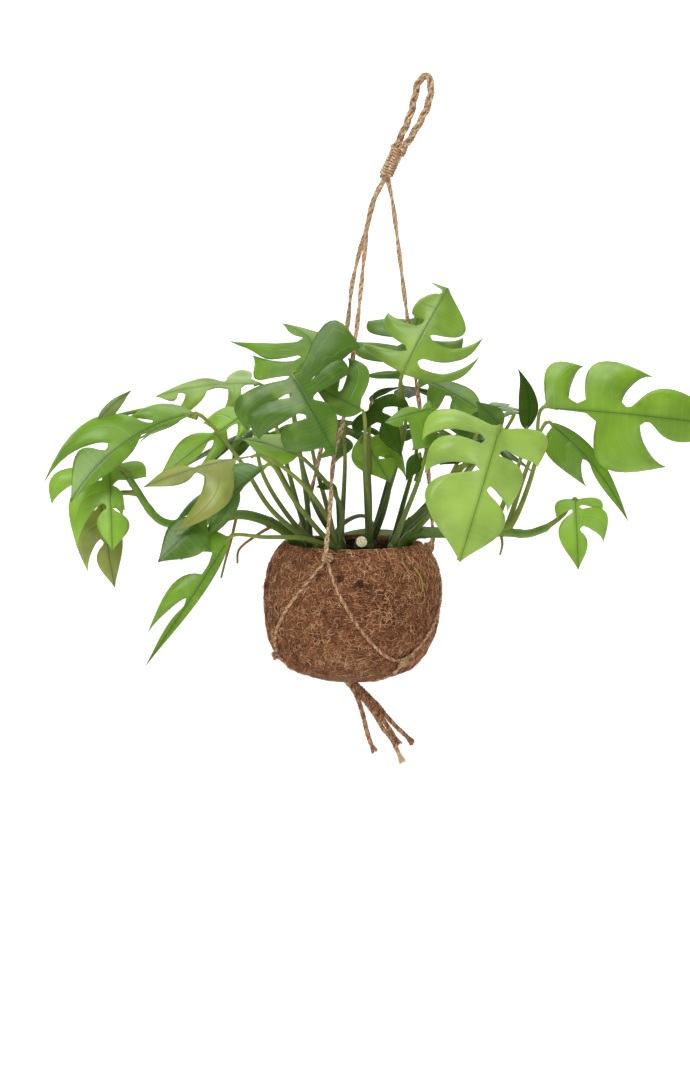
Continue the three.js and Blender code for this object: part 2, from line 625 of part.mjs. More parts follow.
// The whipping that gathers the cords under the loop.
function whipping() {
  const [foot, head] = [vector(WRAP_FOOT), vector(WRAP_HEAD)];
  const length = foot.distanceTo(head);
  const profile = [[0, 0], [5.2, 0], [6.4, 2], [6.2, 9], [6.2, length - 12], [7, length - 3], [6.4, length], [0, length]];
  const lean = Math.atan2(head.x - foot.x, head.z - foot.z);
  return turned(profile, 12).rotateY(lean).translate(...WRAP_FOOT);
}

const model = new THREE.Group();
model.position.set(...LOOP_TOP.map((value) => -value));

function add(name, geometry, finish) {
  const mesh = new THREE.Mesh(geometry, material(finish));
  mesh.name = name;
  model.add(mesh);
}

const holes = PLANT.map(({ root, radius }) => ({ at: root, radius }));
holes.push({ at: CUT_STEM[0].slice(0, 2), radius: 5 });

add('coir_wrap', coirWrap(), 'coir');
add('soil_ball', geometryOf(soilBall(holes)), 'soil');
for (const stem of PLANT) add(stem.name, geometryOf(leafyStem(stem)), 'leaf');
add('cut_stem', tube(CUT_STEM, [5], STEM_SIDES, 6), 'cut');

for (const [name, { outline, y }] of Object.entries(LOOPS)) {
  add(name, tube(outline.map(([x, z]) => [x, y, z]), [STRAND / 2], STEM_SIDES, 13), 'jute');
}
add('whipping', whipping(), 'jute');
for (const [name, route] of Object.entries(LEGS)) add(name, tube(route, [PAIR / 2], STEM_SIDES, 12), 'jute');
['right', 'left_back', 'front'].forEach((place, i) => {
  const angle = LEG_ANGLES[i];
  add(`shoulder_knot_${place}`, knot(SHOULDER_KNOT, onBall(angle, SHOULDER_Z, SHOULDER_KNOT + 2 * GAP)), 'jute');
  add(`net_strand_${place}_a`, netStrand(angle, 60, [1.5, 1.3, 2.2][i]), 'jute');
  add(`net_strand_${place}_b`, netStrand(angle, -60, [1.3, 1.6, 1.1][i]), 'jute');
  add(`lower_knot_${place}`, knot(LOWER_KNOT, onBall(angle + 60, LOWER_KNOT_Z, LOWER_KNOT + 3 * GAP)), 'jute');
  add(`base_run_${place}`, baseRun(angle + 60), 'jute');
});
add('base_knot', knot(BASE_KNOT / 1.15, BASE_CENTRE), 'jute');
for (const [name, route] of Object.entries(TAILS)) add(name, tube(route, [STRAND / 2], STEM_SIDES, 7), 'jute');

export default model;
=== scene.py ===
"""A young split-leaf climber in a ball wrapped in coconut fibre, hung in a knotted net of jute cord.

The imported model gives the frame. Every visible piece is made here in finer detail, from the same
design points, and stands for the solid of the same name. Design points are in millimetres from the
crown, the middle of the wrap's mouth; `placed` turns them into the frame's metres.
"""

import json
import logging
import math
from collections.abc import Sequence
from dataclasses import dataclass
from enum import Enum
from random import Random

import bmesh
import bpy
from bmesh.types import BMVert, BMesh
from bpy.types import Material, Mesh, Node, NodeSocket, Object
from mathutils import Matrix, Vector, noise

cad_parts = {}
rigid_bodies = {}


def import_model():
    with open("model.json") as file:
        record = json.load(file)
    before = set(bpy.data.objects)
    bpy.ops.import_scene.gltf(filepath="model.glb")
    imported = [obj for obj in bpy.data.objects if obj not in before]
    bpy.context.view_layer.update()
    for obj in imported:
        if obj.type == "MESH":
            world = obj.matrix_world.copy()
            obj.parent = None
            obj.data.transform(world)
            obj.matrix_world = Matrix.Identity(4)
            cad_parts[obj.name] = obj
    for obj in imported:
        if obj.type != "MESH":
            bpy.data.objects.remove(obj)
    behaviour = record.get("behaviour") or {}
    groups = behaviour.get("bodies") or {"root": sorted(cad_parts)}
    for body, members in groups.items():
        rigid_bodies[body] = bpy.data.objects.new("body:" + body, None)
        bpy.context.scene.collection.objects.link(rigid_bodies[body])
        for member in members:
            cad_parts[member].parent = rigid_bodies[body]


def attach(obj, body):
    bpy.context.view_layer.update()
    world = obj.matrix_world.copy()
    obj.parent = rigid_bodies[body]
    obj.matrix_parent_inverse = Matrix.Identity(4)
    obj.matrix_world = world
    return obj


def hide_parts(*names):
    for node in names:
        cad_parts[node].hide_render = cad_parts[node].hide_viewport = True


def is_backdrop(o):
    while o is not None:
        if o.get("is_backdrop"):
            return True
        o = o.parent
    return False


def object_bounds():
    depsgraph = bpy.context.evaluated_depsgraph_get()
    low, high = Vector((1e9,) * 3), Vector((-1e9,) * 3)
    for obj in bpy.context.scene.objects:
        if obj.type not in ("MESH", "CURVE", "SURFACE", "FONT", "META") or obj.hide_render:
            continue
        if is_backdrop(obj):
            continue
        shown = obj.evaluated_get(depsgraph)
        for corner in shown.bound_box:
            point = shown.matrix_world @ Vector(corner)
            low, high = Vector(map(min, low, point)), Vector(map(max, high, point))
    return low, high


Point = tuple[float, float, float]
Pair = tuple[float, float]
Colour = tuple[float, ...]

LOG = logging.getLogger("hanging_plant")
LOOP_TOP = Vector((63.0, 0.0, 401.0))
MILLI = 0.001
BODY = "root"
VIEW_TILT = 6.5
FULL_RISE = 60.0
THIRD_TURN = 120.0
CURVE_STEPS = 24
STRAY_RATE = 0.16


def placed(point: Sequence[float]) -> Vector:
    """Turns a design point into the frame.

    Args:
        point: Millimetres from the crown.

    Returns:
        The same point in metres, from the top of the hanging loop.
    """
    return (Vector(point) - LOOP_TOP) * MILLI


def linear(red: int, green: int, blue: int) -> tuple[float, float, float, float]:
    """Turns a colour of 0 to 255 a channel into the linear values that a shader takes.

    Args:
        red: Red, as a screen shows it.
        green: Green, as a screen shows it.
        blue: Blue, as a screen shows it.

    Returns:
        Linear red, green and blue, and an alpha of 1.
    """
    values = []
    for channel in (red, green, blue):
        share = channel / 255.0
        values.append(share / 12.92 if share <= 0.04045 else ((share + 0.055) / 1.055) ** 2.4)
    return (*values, 1.0)


class Tone(Enum):
    """The colour of a leaf's upper side or of a stem, as red, green and blue."""

    LIME = (146, 178, 74)
    BRIGHT = (140, 184, 58)
    FRESH = (122, 162, 40)
    MID = (104, 144, 32)
    DEEP = (74, 110, 24)
    SAGE = (86, 122, 30)
    PALE = (124, 158, 52)
    GREY = (128, 142, 84)
    OLIVE = (138, 144, 64)
    # SHADE is painted shade: the dark green given to leaves that stand in the shadow of others
    SHADE = (56, 82, 22)
    PETIOLE = (124, 136, 50)
    STEM = (100, 132, 40)
    # CROWN: stalks near the crown, partly their own darker olive and partly painted shade under the leaves
    CROWN = (58, 74, 22)
    ROOT = (142, 108, 66)


def as_seen(point: Sequence[float]) -> Point:
    """Moves a point of the plant, which is laid out as the camera sees it, to its true height.

    Args:
        point: The point in millimetres from the crown, as it is seen from a little above.

    Returns:
        The point, higher the nearer it stands, which fades out close to the ball.
    """
    x, y, z = point
    return (x, y, z - y * math.tan(math.radians(VIEW_TILT)) * min(1.0, max(0.0, z / FULL_RISE)))


def smooth_line(points: Sequence[Sequence[float]], steps: int) -> list[Vector]:
    """Runs a centripetal curve through some points.

    Args:
        points: The points it passes through.
        steps: How many equal steps to cut it into.

    Returns:
        The curve's points, evenly spaced from the first to the last.
    """
    knots = [Vector(point) for point in points]
    knots = [knots[0] * 2 - knots[1], *knots, knots[-1] * 2 - knots[-2]]
    fine: list[Vector] = []
    for before, start, end, after in zip(knots, knots[1:], knots[2:], knots[3:]):
        gaps = [max((q - p).length ** 0.5, 1e-4) for p, q in ((before, start), (start, end), (end, after))]
        leave = (start - before) / gaps[0] - (end - before) / (gaps[0] + gaps[1]) + (end - start) / gaps[1]
        arrive = (end - start) / gaps[1] - (after - start) / (gaps[1] + gaps[2]) + (after - end) / gaps[2]
        leave, arrive = leave * gaps[1], arrive * gaps[1]
        for i in range(CURVE_STEPS):
            t = i / CURVE_STEPS
            square = (end - start) * 3 - leave * 2 - arrive
            cube = (start - end) * 2 + leave + arrive
            fine.append(start + leave * t + square * t * t + cube * t ** 3)
    fine.append(knots[-2].copy())
    return even(fine, steps)


def even(line: Sequence[Vector], steps: int) -> list[Vector]:
    """Cuts a line of points into equal steps.

    Args:
        line: The line's points.
        steps: How many steps to make.

    Returns:
        The evenly spaced points, one more than the steps.
    """
    reach = [0.0]
    for start, end in zip(line, line[1:]):
        reach.append(reach[-1] + (end - start).length)
    result = []
    i = 0
    for step in range(steps + 1):
        goal = reach[-1] * step / steps
        while i < len(line) - 2 and reach[i + 1] < goal:
            i += 1
        share = (goal - reach[i]) / max(reach[i + 1] - reach[i], 1e-9)
        result.append(line[i].lerp(line[i + 1], min(1.0, max(0.0, share))))
    return result


def line_length(line: Sequence[Vector]) -> float:
    """Measures a line of points.

    Args:
        line: The line's points.

    Returns:
        Its length.
    """
    return sum((end - start).length for start, end in zip(line, line[1:]))


def frames_along(line: Sequence[Vector]) -> list[tuple[Vector, Vector, Vector]]:
    """Carries a frame along a line without twisting it.

    Args:
        line: The line's points.

    Returns:
        For each point its tangent and two directions across it.
    """
    result = []
    side = None
    for i, _ in enumerate(line):
        tangent = (line[min(i + 1, len(line) - 1)] - line[max(i - 1, 0)]).normalized()
        if side is None:
            side = tangent.orthogonal().normalized()
        side = (side - tangent * side.dot(tangent)).normalized()
        result.append((tangent, side, tangent.cross(side)))
    return result


def helix(
    line: Sequence[Vector], offset: float, pitch: float, phase: float, wander: float = 0.0, seed: int = 0
) -> list[Vector]:
    """Winds a line round another.

    Args:
        line: The line to wind round, with its points close together.
        offset: The distance from it.
        pitch: The length of one turn.
        phase: The angle to start at, in turns.
        wander: How far the distance strays, as a share of it.
        seed: Which of the stray patterns to follow.

    Returns:
        The winding line, point for point.
    """
    result = []
    travelled = 0.0
    for i, ((_, side, other), point) in enumerate(zip(frames_along(line), line)):
        if i:
            travelled += (point - line[i - 1]).length
        turn = 2 * math.pi * (travelled / pitch + phase)
        stray = noise.noise(Vector((travelled * STRAY_RATE, seed * 7.3, phase * 3.1)))
        away = offset * (1 + wander * stray)
        result.append(point + side * (away * math.cos(turn)) + other * (away * math.sin(turn)))
    return result


@dataclass
class Strand:
    """One round thread of a bevelled curve: its points in millimetres and its radius along them."""

    line: list[Vector]
    radii: list[float]


def thread(line: list[Vector], start: float, end: float | None = None) -> Strand:
    """Makes a strand whose radius runs evenly from one value to another.

    Args:
        line: The points it follows.
        start: Its radius at the first point.
        end: Its radius at the last point, the same as the first if left out.

    Returns:
        The strand.
    """
    last = start if end is None else end
    count = max(1, len(line) - 1)
    return Strand(line, [start + (last - start) * i / count for i in range(len(line))])


def tubes(strands: Sequence[Strand], sides: int) -> Mesh:
    """Makes round closed tubes along strands.

    Args:
        strands: The strands, in millimetres from the crown.
        sides: How many sides a tube has: 4, 6, 8 and so on.

    Returns:
        One mesh that holds every tube, in metres.
    """
    curve = bpy.data.curves.new("strands", "CURVE")
    curve.dimensions = "3D"
    curve.bevel_depth = MILLI
    curve.bevel_resolution = sides // 2 - 2
    curve.use_fill_caps = True
    for strand in strands:
        spline = curve.splines.new("POLY")
        spline.points.add(len(strand.line) - 1)
        flat = [value for point in strand.line for value in (*placed(point), 1.0)]
        spline.points.foreach_set("co", flat)
        spline.points.foreach_set("radius", strand.radii)
    holder = bpy.data.objects.new("strands", curve)
    bpy.context.scene.collection.objects.link(holder)
    graph = bpy.context.evaluated_depsgraph_get()
    mesh = bpy.data.meshes.new_from_object(holder.evaluated_get(graph))
    bpy.data.objects.remove(holder)
    bpy.data.curves.remove(curve)
    return mesh


def closed_up(shape: BMesh, distance: float = 2e-6) -> None:
    """Merges a mesh's doubled points and turns its faces outwards.

    Args:
        shape: The mesh to mend.
        distance: How near two points are when they are one.
    """
    bmesh.ops.remove_doubles(shape, verts=shape.verts, dist=distance)
    bmesh.ops.recalc_face_normals(shape, faces=shape.faces)


@dataclass
class Workshop:
    """Turns finished meshes into pieces that ride on the plant and stand for its solids."""

    visible: int = 0

    def piece(
        self,
        name: str,
        mesh: Mesh,
        slot: str,
        finishes: Sequence[Material],
        nodes: Sequence[str] = (),
    ) -> Object:
        """Hangs a mesh in the scene as one piece.

        Args:
            name: The piece's name.
            mesh: Its mesh, already in its place.
            slot: A word for its finish, which ends its mesh's name when it stands for solids.
            finishes: Its materials, in the order that its faces count them.
            nodes: The solids that it stands for.

        Returns:
            The piece's object.
        """
        mesh.name = f"{name}_{slot}" if nodes else name
        for finish in finishes:
            mesh.materials.append(finish)
        for polygon in mesh.polygons:
            polygon.use_smooth = True
        item = bpy.data.objects.new(mesh.name, mesh)
        bpy.context.scene.collection.objects.link(item)
        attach(item, BODY)
        if nodes:
            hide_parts(*nodes)
        self.visible += 1
        mesh.calc_loop_triangles()
        LOG.info("%s: %d triangles", name, len(mesh.loop_triangles))
        return item


class NodeBench:
    """Lays out one material's shader nodes."""

    def __init__(self, name: str, roughness: float, specular: float = 0.5) -> None:
        """Starts a material.

        Args:
            name: The material's name.
            roughness: The surface's roughness.
            specular: The surface's specular level.
        """
        self.material = bpy.data.materials.new(name)
        self.material.use_nodes = True
        self.tree = self.material.node_tree
        self.surface = self.tree.nodes["Principled BSDF"]
        self.surface.inputs["Roughness"].default_value = roughness
        self.surface.inputs["Specular IOR Level"].default_value = specular
        self.object_place = self.add("ShaderNodeTexCoord").outputs["Object"]

    def add(self, kind: str, settings: dict[str, object] | None = None, **sockets: object) -> Node:
        """Adds a node.

        Args:
            kind: The node's type.
            settings: Its properties by name.
            **sockets: Its inputs by name, with _ for a space; each is a value or another node's output.

        Returns:
            The new node.
        """
        node = self.tree.nodes.new(kind)
        for key, value in (settings or {}).items():
            setattr(node, key, value)
        for key, value in sockets.items():
            self.feed(node, key.replace("_", " "), value)
        return node

    def feed(self, node: Node, name: str, value: object) -> None:
        """Sets or links one input of a node.

        Args:
            node: The node.
            name: The input's name, or its number.
            value: A value, or another node's output.
        """
        socket = node.inputs[int(name)] if name.isdigit() else node.inputs[name]
        if isinstance(value, NodeSocket):
            self.tree.links.new(value, socket)
        else:
            socket.default_value = value

    def noise(self, scale: float, detail: float = 3.0, place: object = None) -> NodeSocket:
        """Adds a noise pattern and returns its value.

        Args:
            scale: How many times it repeats in a metre.
            detail: Its number of finer layers.
            place: Where to read it, the piece's own place if left out.

        Returns:
            The noise's value output.
        """
        at = self.object_place if place is None else place
        return self.add("ShaderNodeTexNoise", Vector=at, Scale=scale, Detail=detail).outputs["Fac"]

    def stretched(self, turn: Point, scale: Point) -> NodeSocket:
        """Returns the piece's own place, turned and stretched.

        Args:
            turn: The turn about each axis, in radians.
            scale: The stretch along each axis.

        Returns:
            The mapping's output.
        """
        node = self.add("ShaderNodeMapping", Vector=self.object_place, Rotation=turn, Scale=scale)
        return node.outputs["Vector"]

    def ramp(
        self, value: NodeSocket, low: float, high: float, start: float = 0.0, end: float = 1.0
    ) -> NodeSocket:
        """Spreads a value smoothly from one range to another.

        Args:
            value: The value.
            low: The value that gives the start.
            high: The value that gives the end.
            start: The result at the low value.
            end: The result at the high value.

        Returns:
            The spread value's output.
        """
        node = self.add("ShaderNodeMapRange", {"interpolation_type": "SMOOTHSTEP"})
        for name, number in (("From Min", low), ("From Max", high), ("To Min", start), ("To Max", end)):
            node.inputs[name].default_value = number
        self.tree.links.new(value, node.inputs["Value"])
        return node.outputs["Result"]

    def math(self, operation: str, first: object, second: object = 0.0) -> NodeSocket:
        """Adds a sum or another operation on two values.

        Args:
            operation: The operation's name.
            first: The first value.
            second: The second value.

        Returns:
            The result's output.
        """
        node = self.add("ShaderNodeMath", {"operation": operation})
        self.feed(node, "0", first)
        self.feed(node, "1", second)
        return node.outputs[0]

    def blend(self, share: object, first: object, second: object, how: str = "MIX") -> NodeSocket:
        """Mixes two colours.

        Args:
            share: How much of the second colour to take.
            first: The first colour.
            second: The second colour.
            how: The mixing mode.

        Returns:
            The mixed colour's output.
        """
        node = self.add("ShaderNodeMix", {"data_type": "RGBA", "blend_type": how})
        self.feed(node, "0", share)
        self.feed(node, "6", first)
        self.feed(node, "7", second)
        return node.outputs[2]

    def finish(
        self, colour: object, height: NodeSocket | None = None, depth: float = 0.001, strength: float = 1.0
    ) -> Material:
        """Sets the surface's colour and relief.

        Args:
            colour: The base colour, a value or a node's output.
            height: The relief's height, none if left out.
            depth: The relief's depth in metres.
            strength: How strongly the relief shows.

        Returns:
            The finished material.
        """
        self.feed(self.surface, "Base Color", colour)
        if height is not None:
            bump = self.add("ShaderNodeBump", Height=height, Distance=depth, Strength=strength)
            self.feed(self.surface, "Normal", bump.outputs["Normal"])
        return self.material


@dataclass(frozen=True)
class LeafFinish:
    """The living leaf: its tone in soft patches, faint veins and a waxy sheen."""

    roughness: float = 0.38
    sheen: float = 0.33
    coat: float = 0.08
    vein: Colour = linear(178, 206, 112)
    dark: Colour = linear(42, 72, 14)
    light: Colour = linear(164, 196, 80)
    side_veins: int = 24

    def material(self) -> Material:
        """Returns the leaf's material."""
        bench = NodeBench("living_leaf", self.roughness)
        leaf = bench.add("ShaderNodeAttribute", {"attribute_name": "tone"})
        tone = leaf.outputs["Color"]
        shine = leaf.outputs["Alpha"]
        bench.feed(bench.surface, "Specular IOR Level", bench.math("MULTIPLY", shine, self.sheen))
        bench.feed(bench.surface, "Coat Weight", bench.math("MULTIPLY", shine, self.coat))
        place = bench.add("ShaderNodeAttribute", {"attribute_name": "vein"}).outputs["Vector"]
        split = bench.add("ShaderNodeSeparateXYZ", Vector=place)
        wander = bench.math("MULTIPLY", bench.math("SUBTRACT", bench.noise(60.0), 0.5), 0.06)
        colour = bench.blend(bench.ramp(bench.noise(26.0), 0.35, 0.7, 0.0, 0.34), tone, self.dark)
        colour = bench.blend(bench.ramp(bench.noise(34.0, 2.0), 0.52, 0.75, 0.0, 0.3), colour, self.light)
        groove = bench.ramp(split.outputs["Y"], 0.4, 4.0, 0.22, 0.0)
        colour = bench.blend(groove, colour, self.dark)
        along = bench.math("ADD", split.outputs["X"], wander)
        cross = bench.math("SINE", bench.math("MULTIPLY", along, 2 * math.pi * self.side_veins))
        colour = bench.blend(bench.ramp(cross, 0.8, 1.0, 0.0, 0.06), colour, self.vein)
        middle = bench.math("ADD", split.outputs["Z"], bench.math("MULTIPLY", wander, 0.4))
        colour = bench.blend(bench.ramp(middle, 0.008, 0.024, 0.26, 0.0), colour, self.dark)
        colour = bench.blend(bench.ramp(split.outputs["Y"], 0.3, 0.7, 0.55, 0.0), colour, self.dark)
        relief = bench.math("MULTIPLY", bench.noise(260.0, 4.0), 0.3)
        relief = bench.math("ADD", relief, bench.math("MULTIPLY", cross, -0.015))
        relief = bench.math("ADD", relief, bench.ramp(middle, 0.0, 0.05, -0.5, 0.0))
        bench.surface.inputs["Subsurface Weight"].default_value = 0.15
        bench.surface.inputs["Subsurface Radius"].default_value = (0.002, 0.004, 0.001)
        bench.surface.inputs["Coat Roughness"].default_value = 0.25
        return bench.finish(colour, relief, 0.0008, 0.6)


@dataclass(frozen=True)
class StemFinish:
    """The green stems and petioles, streaked along their length."""

    roughness: float = 0.45
    dark: Colour = linear(62, 92, 36)
    scar: Colour = linear(150, 112, 62)

    def material(self) -> Material:
        """Returns the stems' material."""
        bench = NodeBench("green_stem", self.roughness, 0.3)
        tone = bench.add("ShaderNodeAttribute", {"attribute_name": "tone"}).outputs["Color"]
        streak = bench.ramp(bench.noise(70.0, 4.0), 0.35, 0.7)
        colour = bench.blend(bench.math("MULTIPLY", streak, 0.5), tone, self.dark)
        fleck = bench.ramp(bench.noise(420.0, 2.0), 0.64, 0.74, 0.0, 0.4)
        colour = bench.blend(fleck, colour, self.scar)
        return bench.finish(colour, bench.noise(500.0, 3.0), 0.0006, 0.35)


@dataclass(frozen=True)
class CoirFinish:
    """Matted coconut fibre: red-brown, patchy, streaked by crossing fibres, with painted shade underneath."""

    dark: Colour = linear(70, 38, 22)
    middle: Colour = linear(172, 110, 74)
    light: Colour = linear(216, 160, 114)
    straw: Colour = linear(228, 184, 140)
    fleck: Colour = linear(66, 34, 26)
    flecks: tuple[Point, ...] = ((-28.0, -64.0, -21.0), (-10.0, -70.5, -22.0), (6.5, -72.0, -26.0))
    fleck_reach: Pair = (0.0055, 0.0075)
    # painted shade: the heights in metres over which the wrap darkens towards its underside
    painted_shade_heights: Pair = (-0.53, -0.475)
    fibre_name: str = "coir_fibre"

    def material(self) -> Material:
        """Returns the wrap's material."""
        bench = NodeBench("coir_mat", 0.95, 0.15)
        turns = ((0.4, 0.2, 0.3), (1.3, 0.7, 1.9), (2.4, 1.5, 0.8), (0.9, 2.6, 2.5))
        fibres = None
        for turn in turns:
            line = bench.noise(1.0, 2.0, bench.stretched(turn, (110.0, 1100.0, 1100.0)))
            ridge = bench.ramp(line, 0.52, 0.68)
            fibres = ridge if fibres is None else bench.math("MAXIMUM", fibres, ridge)
        patches = bench.ramp(bench.noise(34.0, 5.0), 0.3, 0.66, 0.0, 0.5)
        colour = bench.blend(patches, self.dark, self.middle)
        colour = bench.blend(bench.math("MULTIPLY", fibres, 0.6), colour, self.light)
        return bench.finish(self.darkened(bench, colour), fibres, 0.0016, 1.0)

    def darkened(self, bench: NodeBench, colour: NodeSocket) -> NodeSocket:
        """Paints shade towards the ball's underside and darkens the flecks of husk under the front knot.

        Args:
            bench: The material's nodes.
            colour: The colour.

        Returns:
            The darkened colour's output.
        """
        height = bench.add("ShaderNodeSeparateXYZ", Vector=bench.object_place).outputs["Z"]
        # painted shade: the colour darkens towards the ball's underside
        low = bench.blend(bench.ramp(height, *self.painted_shade_heights, 0.5, 0.0), colour, self.dark)
        ragged = bench.math("MULTIPLY", bench.noise(260.0, 2.0), 0.006)
        for fleck in self.flecks:
            settings = {"operation": "DISTANCE"}
            away = bench.add("ShaderNodeVectorMath", settings, Vector=bench.object_place)
            away.inputs[1].default_value = placed(fleck)
            near = bench.math("ADD", away.outputs["Value"], ragged)
            low = bench.blend(bench.ramp(near, *self.fleck_reach, 0.85, 0.0), low, self.fleck)
        return low

    def hair(self) -> Material:
        """Returns the material of the single fibres, each a little paler or darker than the next."""
        bench = NodeBench(self.fibre_name, 0.8, 0.2)
        shade = bench.add("ShaderNodeAttribute", {"attribute_name": "shade"}).outputs["Fac"]
        patches = bench.ramp(bench.noise(40.0, 3.0), 0.36, 0.64, -0.1, 0.1)
        paleness = bench.math("ADD", shade, patches)
        colour = bench.blend(bench.ramp(paleness, 0.0, 0.5), self.dark, self.middle)
        colour = bench.blend(bench.ramp(paleness, 0.5, 0.8), colour, self.light)
        colour = bench.blend(bench.ramp(paleness, 0.82, 1.0), colour, self.straw)
        return bench.finish(self.darkened(bench, colour), bench.noise(1200.0, 2.0), 0.0002, 0.4)


@dataclass(frozen=True)
class JuteFinish:
    """Twisted jute: golden brown, darker low on the ball, with fine fibres along each ply."""

    light: Colour = linear(240, 212, 170)
    brown: Colour = linear(142, 100, 68)
    low: Colour = linear(220, 176, 152)
    ball_fade: Pair = (-0.43, -0.39)
    ball_share: float = 0.38
    tail_fade: Pair = (-0.53, -0.505)
    tail_share: float = 0.7

    def material(self) -> Material:
        """Returns the cords' material."""
        bench = NodeBench("jute_twine", 0.85, 0.2)
        fine = bench.ramp(bench.noise(560.0, 4.0), 0.4, 0.6)
        patches = bench.ramp(bench.noise(60.0, 3.0), 0.35, 0.65)
        shade = bench.add("ShaderNodeAttribute", {"attribute_name": "shade"}).outputs["Fac"]
        paleness = bench.math("ADD", bench.math("MULTIPLY", fine, 0.55), bench.math("MULTIPLY", shade, 0.6))
        colour = bench.blend(paleness, self.brown, self.light)
        colour = bench.blend(bench.math("MULTIPLY", patches, 0.35), colour, self.brown)
        split = bench.add("ShaderNodeSeparateXYZ", Vector=bench.object_place)
        on_ball = bench.ramp(split.outputs["Z"], *self.ball_fade, self.ball_share, 0.0)
        on_tails = bench.ramp(split.outputs["Z"], *self.tail_fade, self.tail_share, 0.0)
        tint = bench.math("MAXIMUM", on_ball, on_tails)
        tint = bench.math("MULTIPLY", tint, bench.ramp(shade, 1.0, 2.0, 1.0, 0.0))
        colour = bench.blend(tint, colour, self.low, "MULTIPLY")
        return bench.finish(colour, fine, 0.0008, 0.9)


@dataclass(frozen=True)
class SoilFinish:
    """Dark damp soil with paler crumbs."""

    wet: Colour = linear(30, 22, 17)
    dry: Colour = linear(74, 56, 42)

    def material(self) -> Material:
        """Returns the soil's material."""
        bench = NodeBench("damp_soil", 0.92, 0.2)
        crumbs = bench.ramp(bench.noise(420.0, 5.0), 0.35, 0.72)
        return bench.finish(bench.blend(crumbs, self.wet, self.dry), crumbs, 0.002, 0.9)


@dataclass(frozen=True)
class CutFinish:
    """The pale cut face of an old stem, ringed and a little stained, on a green-brown side."""

    centre: Point = (8.0, -48.0, 6.5)
    pale: Colour = linear(226, 216, 176)
    stain: Colour = linear(120, 98, 62)
    bark: Colour = linear(52, 70, 26)
    ring: float = 0.0021

    def face(self) -> Material:
        """Returns the cut face's material."""
        bench = NodeBench("cut_face", 0.75, 0.3)
        middle = placed(self.centre)
        split = bench.add("ShaderNodeSeparateXYZ", Vector=bench.object_place)
        across = bench.math("SUBTRACT", split.outputs["X"], middle.x)
        up = bench.math("SUBTRACT", split.outputs["Z"], middle.z)
        away = bench.math("ADD", bench.math("MULTIPLY", across, across), bench.math("MULTIPLY", up, up))
        rings = bench.math("SINE", bench.math("MULTIPLY", bench.math("SQRT", away), 2 * math.pi / self.ring))
        spots = bench.ramp(bench.noise(1100.0, 3.0), 0.5, 0.62)
        ringed = bench.ramp(rings, 0.4, 1.0, 0.0, 0.5)
        marks = bench.math("MAXIMUM", ringed, bench.math("MULTIPLY", spots, 0.7))
        return bench.finish(bench.blend(marks, self.pale, self.stain), marks, 0.0004, 0.6)

    def side(self) -> Material:
        """Returns the side's material."""
        bench = NodeBench("cut_side", 0.6, 0.35)
        spots = bench.ramp(bench.noise(260.0, 4.0), 0.35, 0.7, 0.0, 0.4)
        return bench.finish(bench.blend(spots, self.bark, self.stain), spots, 0.0005, 0.6)


@dataclass(frozen=True)
class Leaf:
    """One leaf: where its blade starts and ends, its lobes, and its petiole from the blade down.

    A lobe is its tip and where its root starts and ends on the midrib. A fifth value is how far it
    swells towards the leaf's base, and a sixth how much slimmer it is than its root. The tip of a leaf
    that the front shows is x and z, on a plane that runs back by `slope`; a leaf with `facing` has its
    tip as a full point, and its lobes in shares of the blade's length. `width` is the end lobe's
    breadth on the left and on the right, and `joins` is where the petiole leaves a runner.
    """

    base: Point
    tip: tuple[float, ...]
    tone: Tone
    petiole: tuple[Point, ...] = ()
    lobes: tuple[tuple[float, ...], ...] | None = None
    slope: Pair = (0.0, 0.4)
    width: Pair = (0.17, 0.17)
    bow: float = 0.0
    fold: float = 0.15
    arch: float = 0.05
    curl: float = 0.18
    cut: float = 0.24
    facing: Point | None = None
    joins: Point | None = None


@dataclass(frozen=True)
class Stem:
    """One leafy stem: where it stands, and the runners, thin roots and leaves that it carries."""

    name: str
    root: Pair
    radius: float
    leaves: tuple[Leaf, ...]
    runners: tuple[tuple[Point, ...], ...] = ()
    threads: tuple[tuple[Point, ...], ...] = ()


LOBE_TAPER = 0.5
USUAL_SWELL = 0.22
USUAL_LOBES = (
    (0.14, 0.4, 0.0, 0.12), (0.52, 0.46, 0.2, 0.38), (0.2, -0.42, 0.02, 0.15),
    (0.6, -0.42, 0.24, 0.42),
)

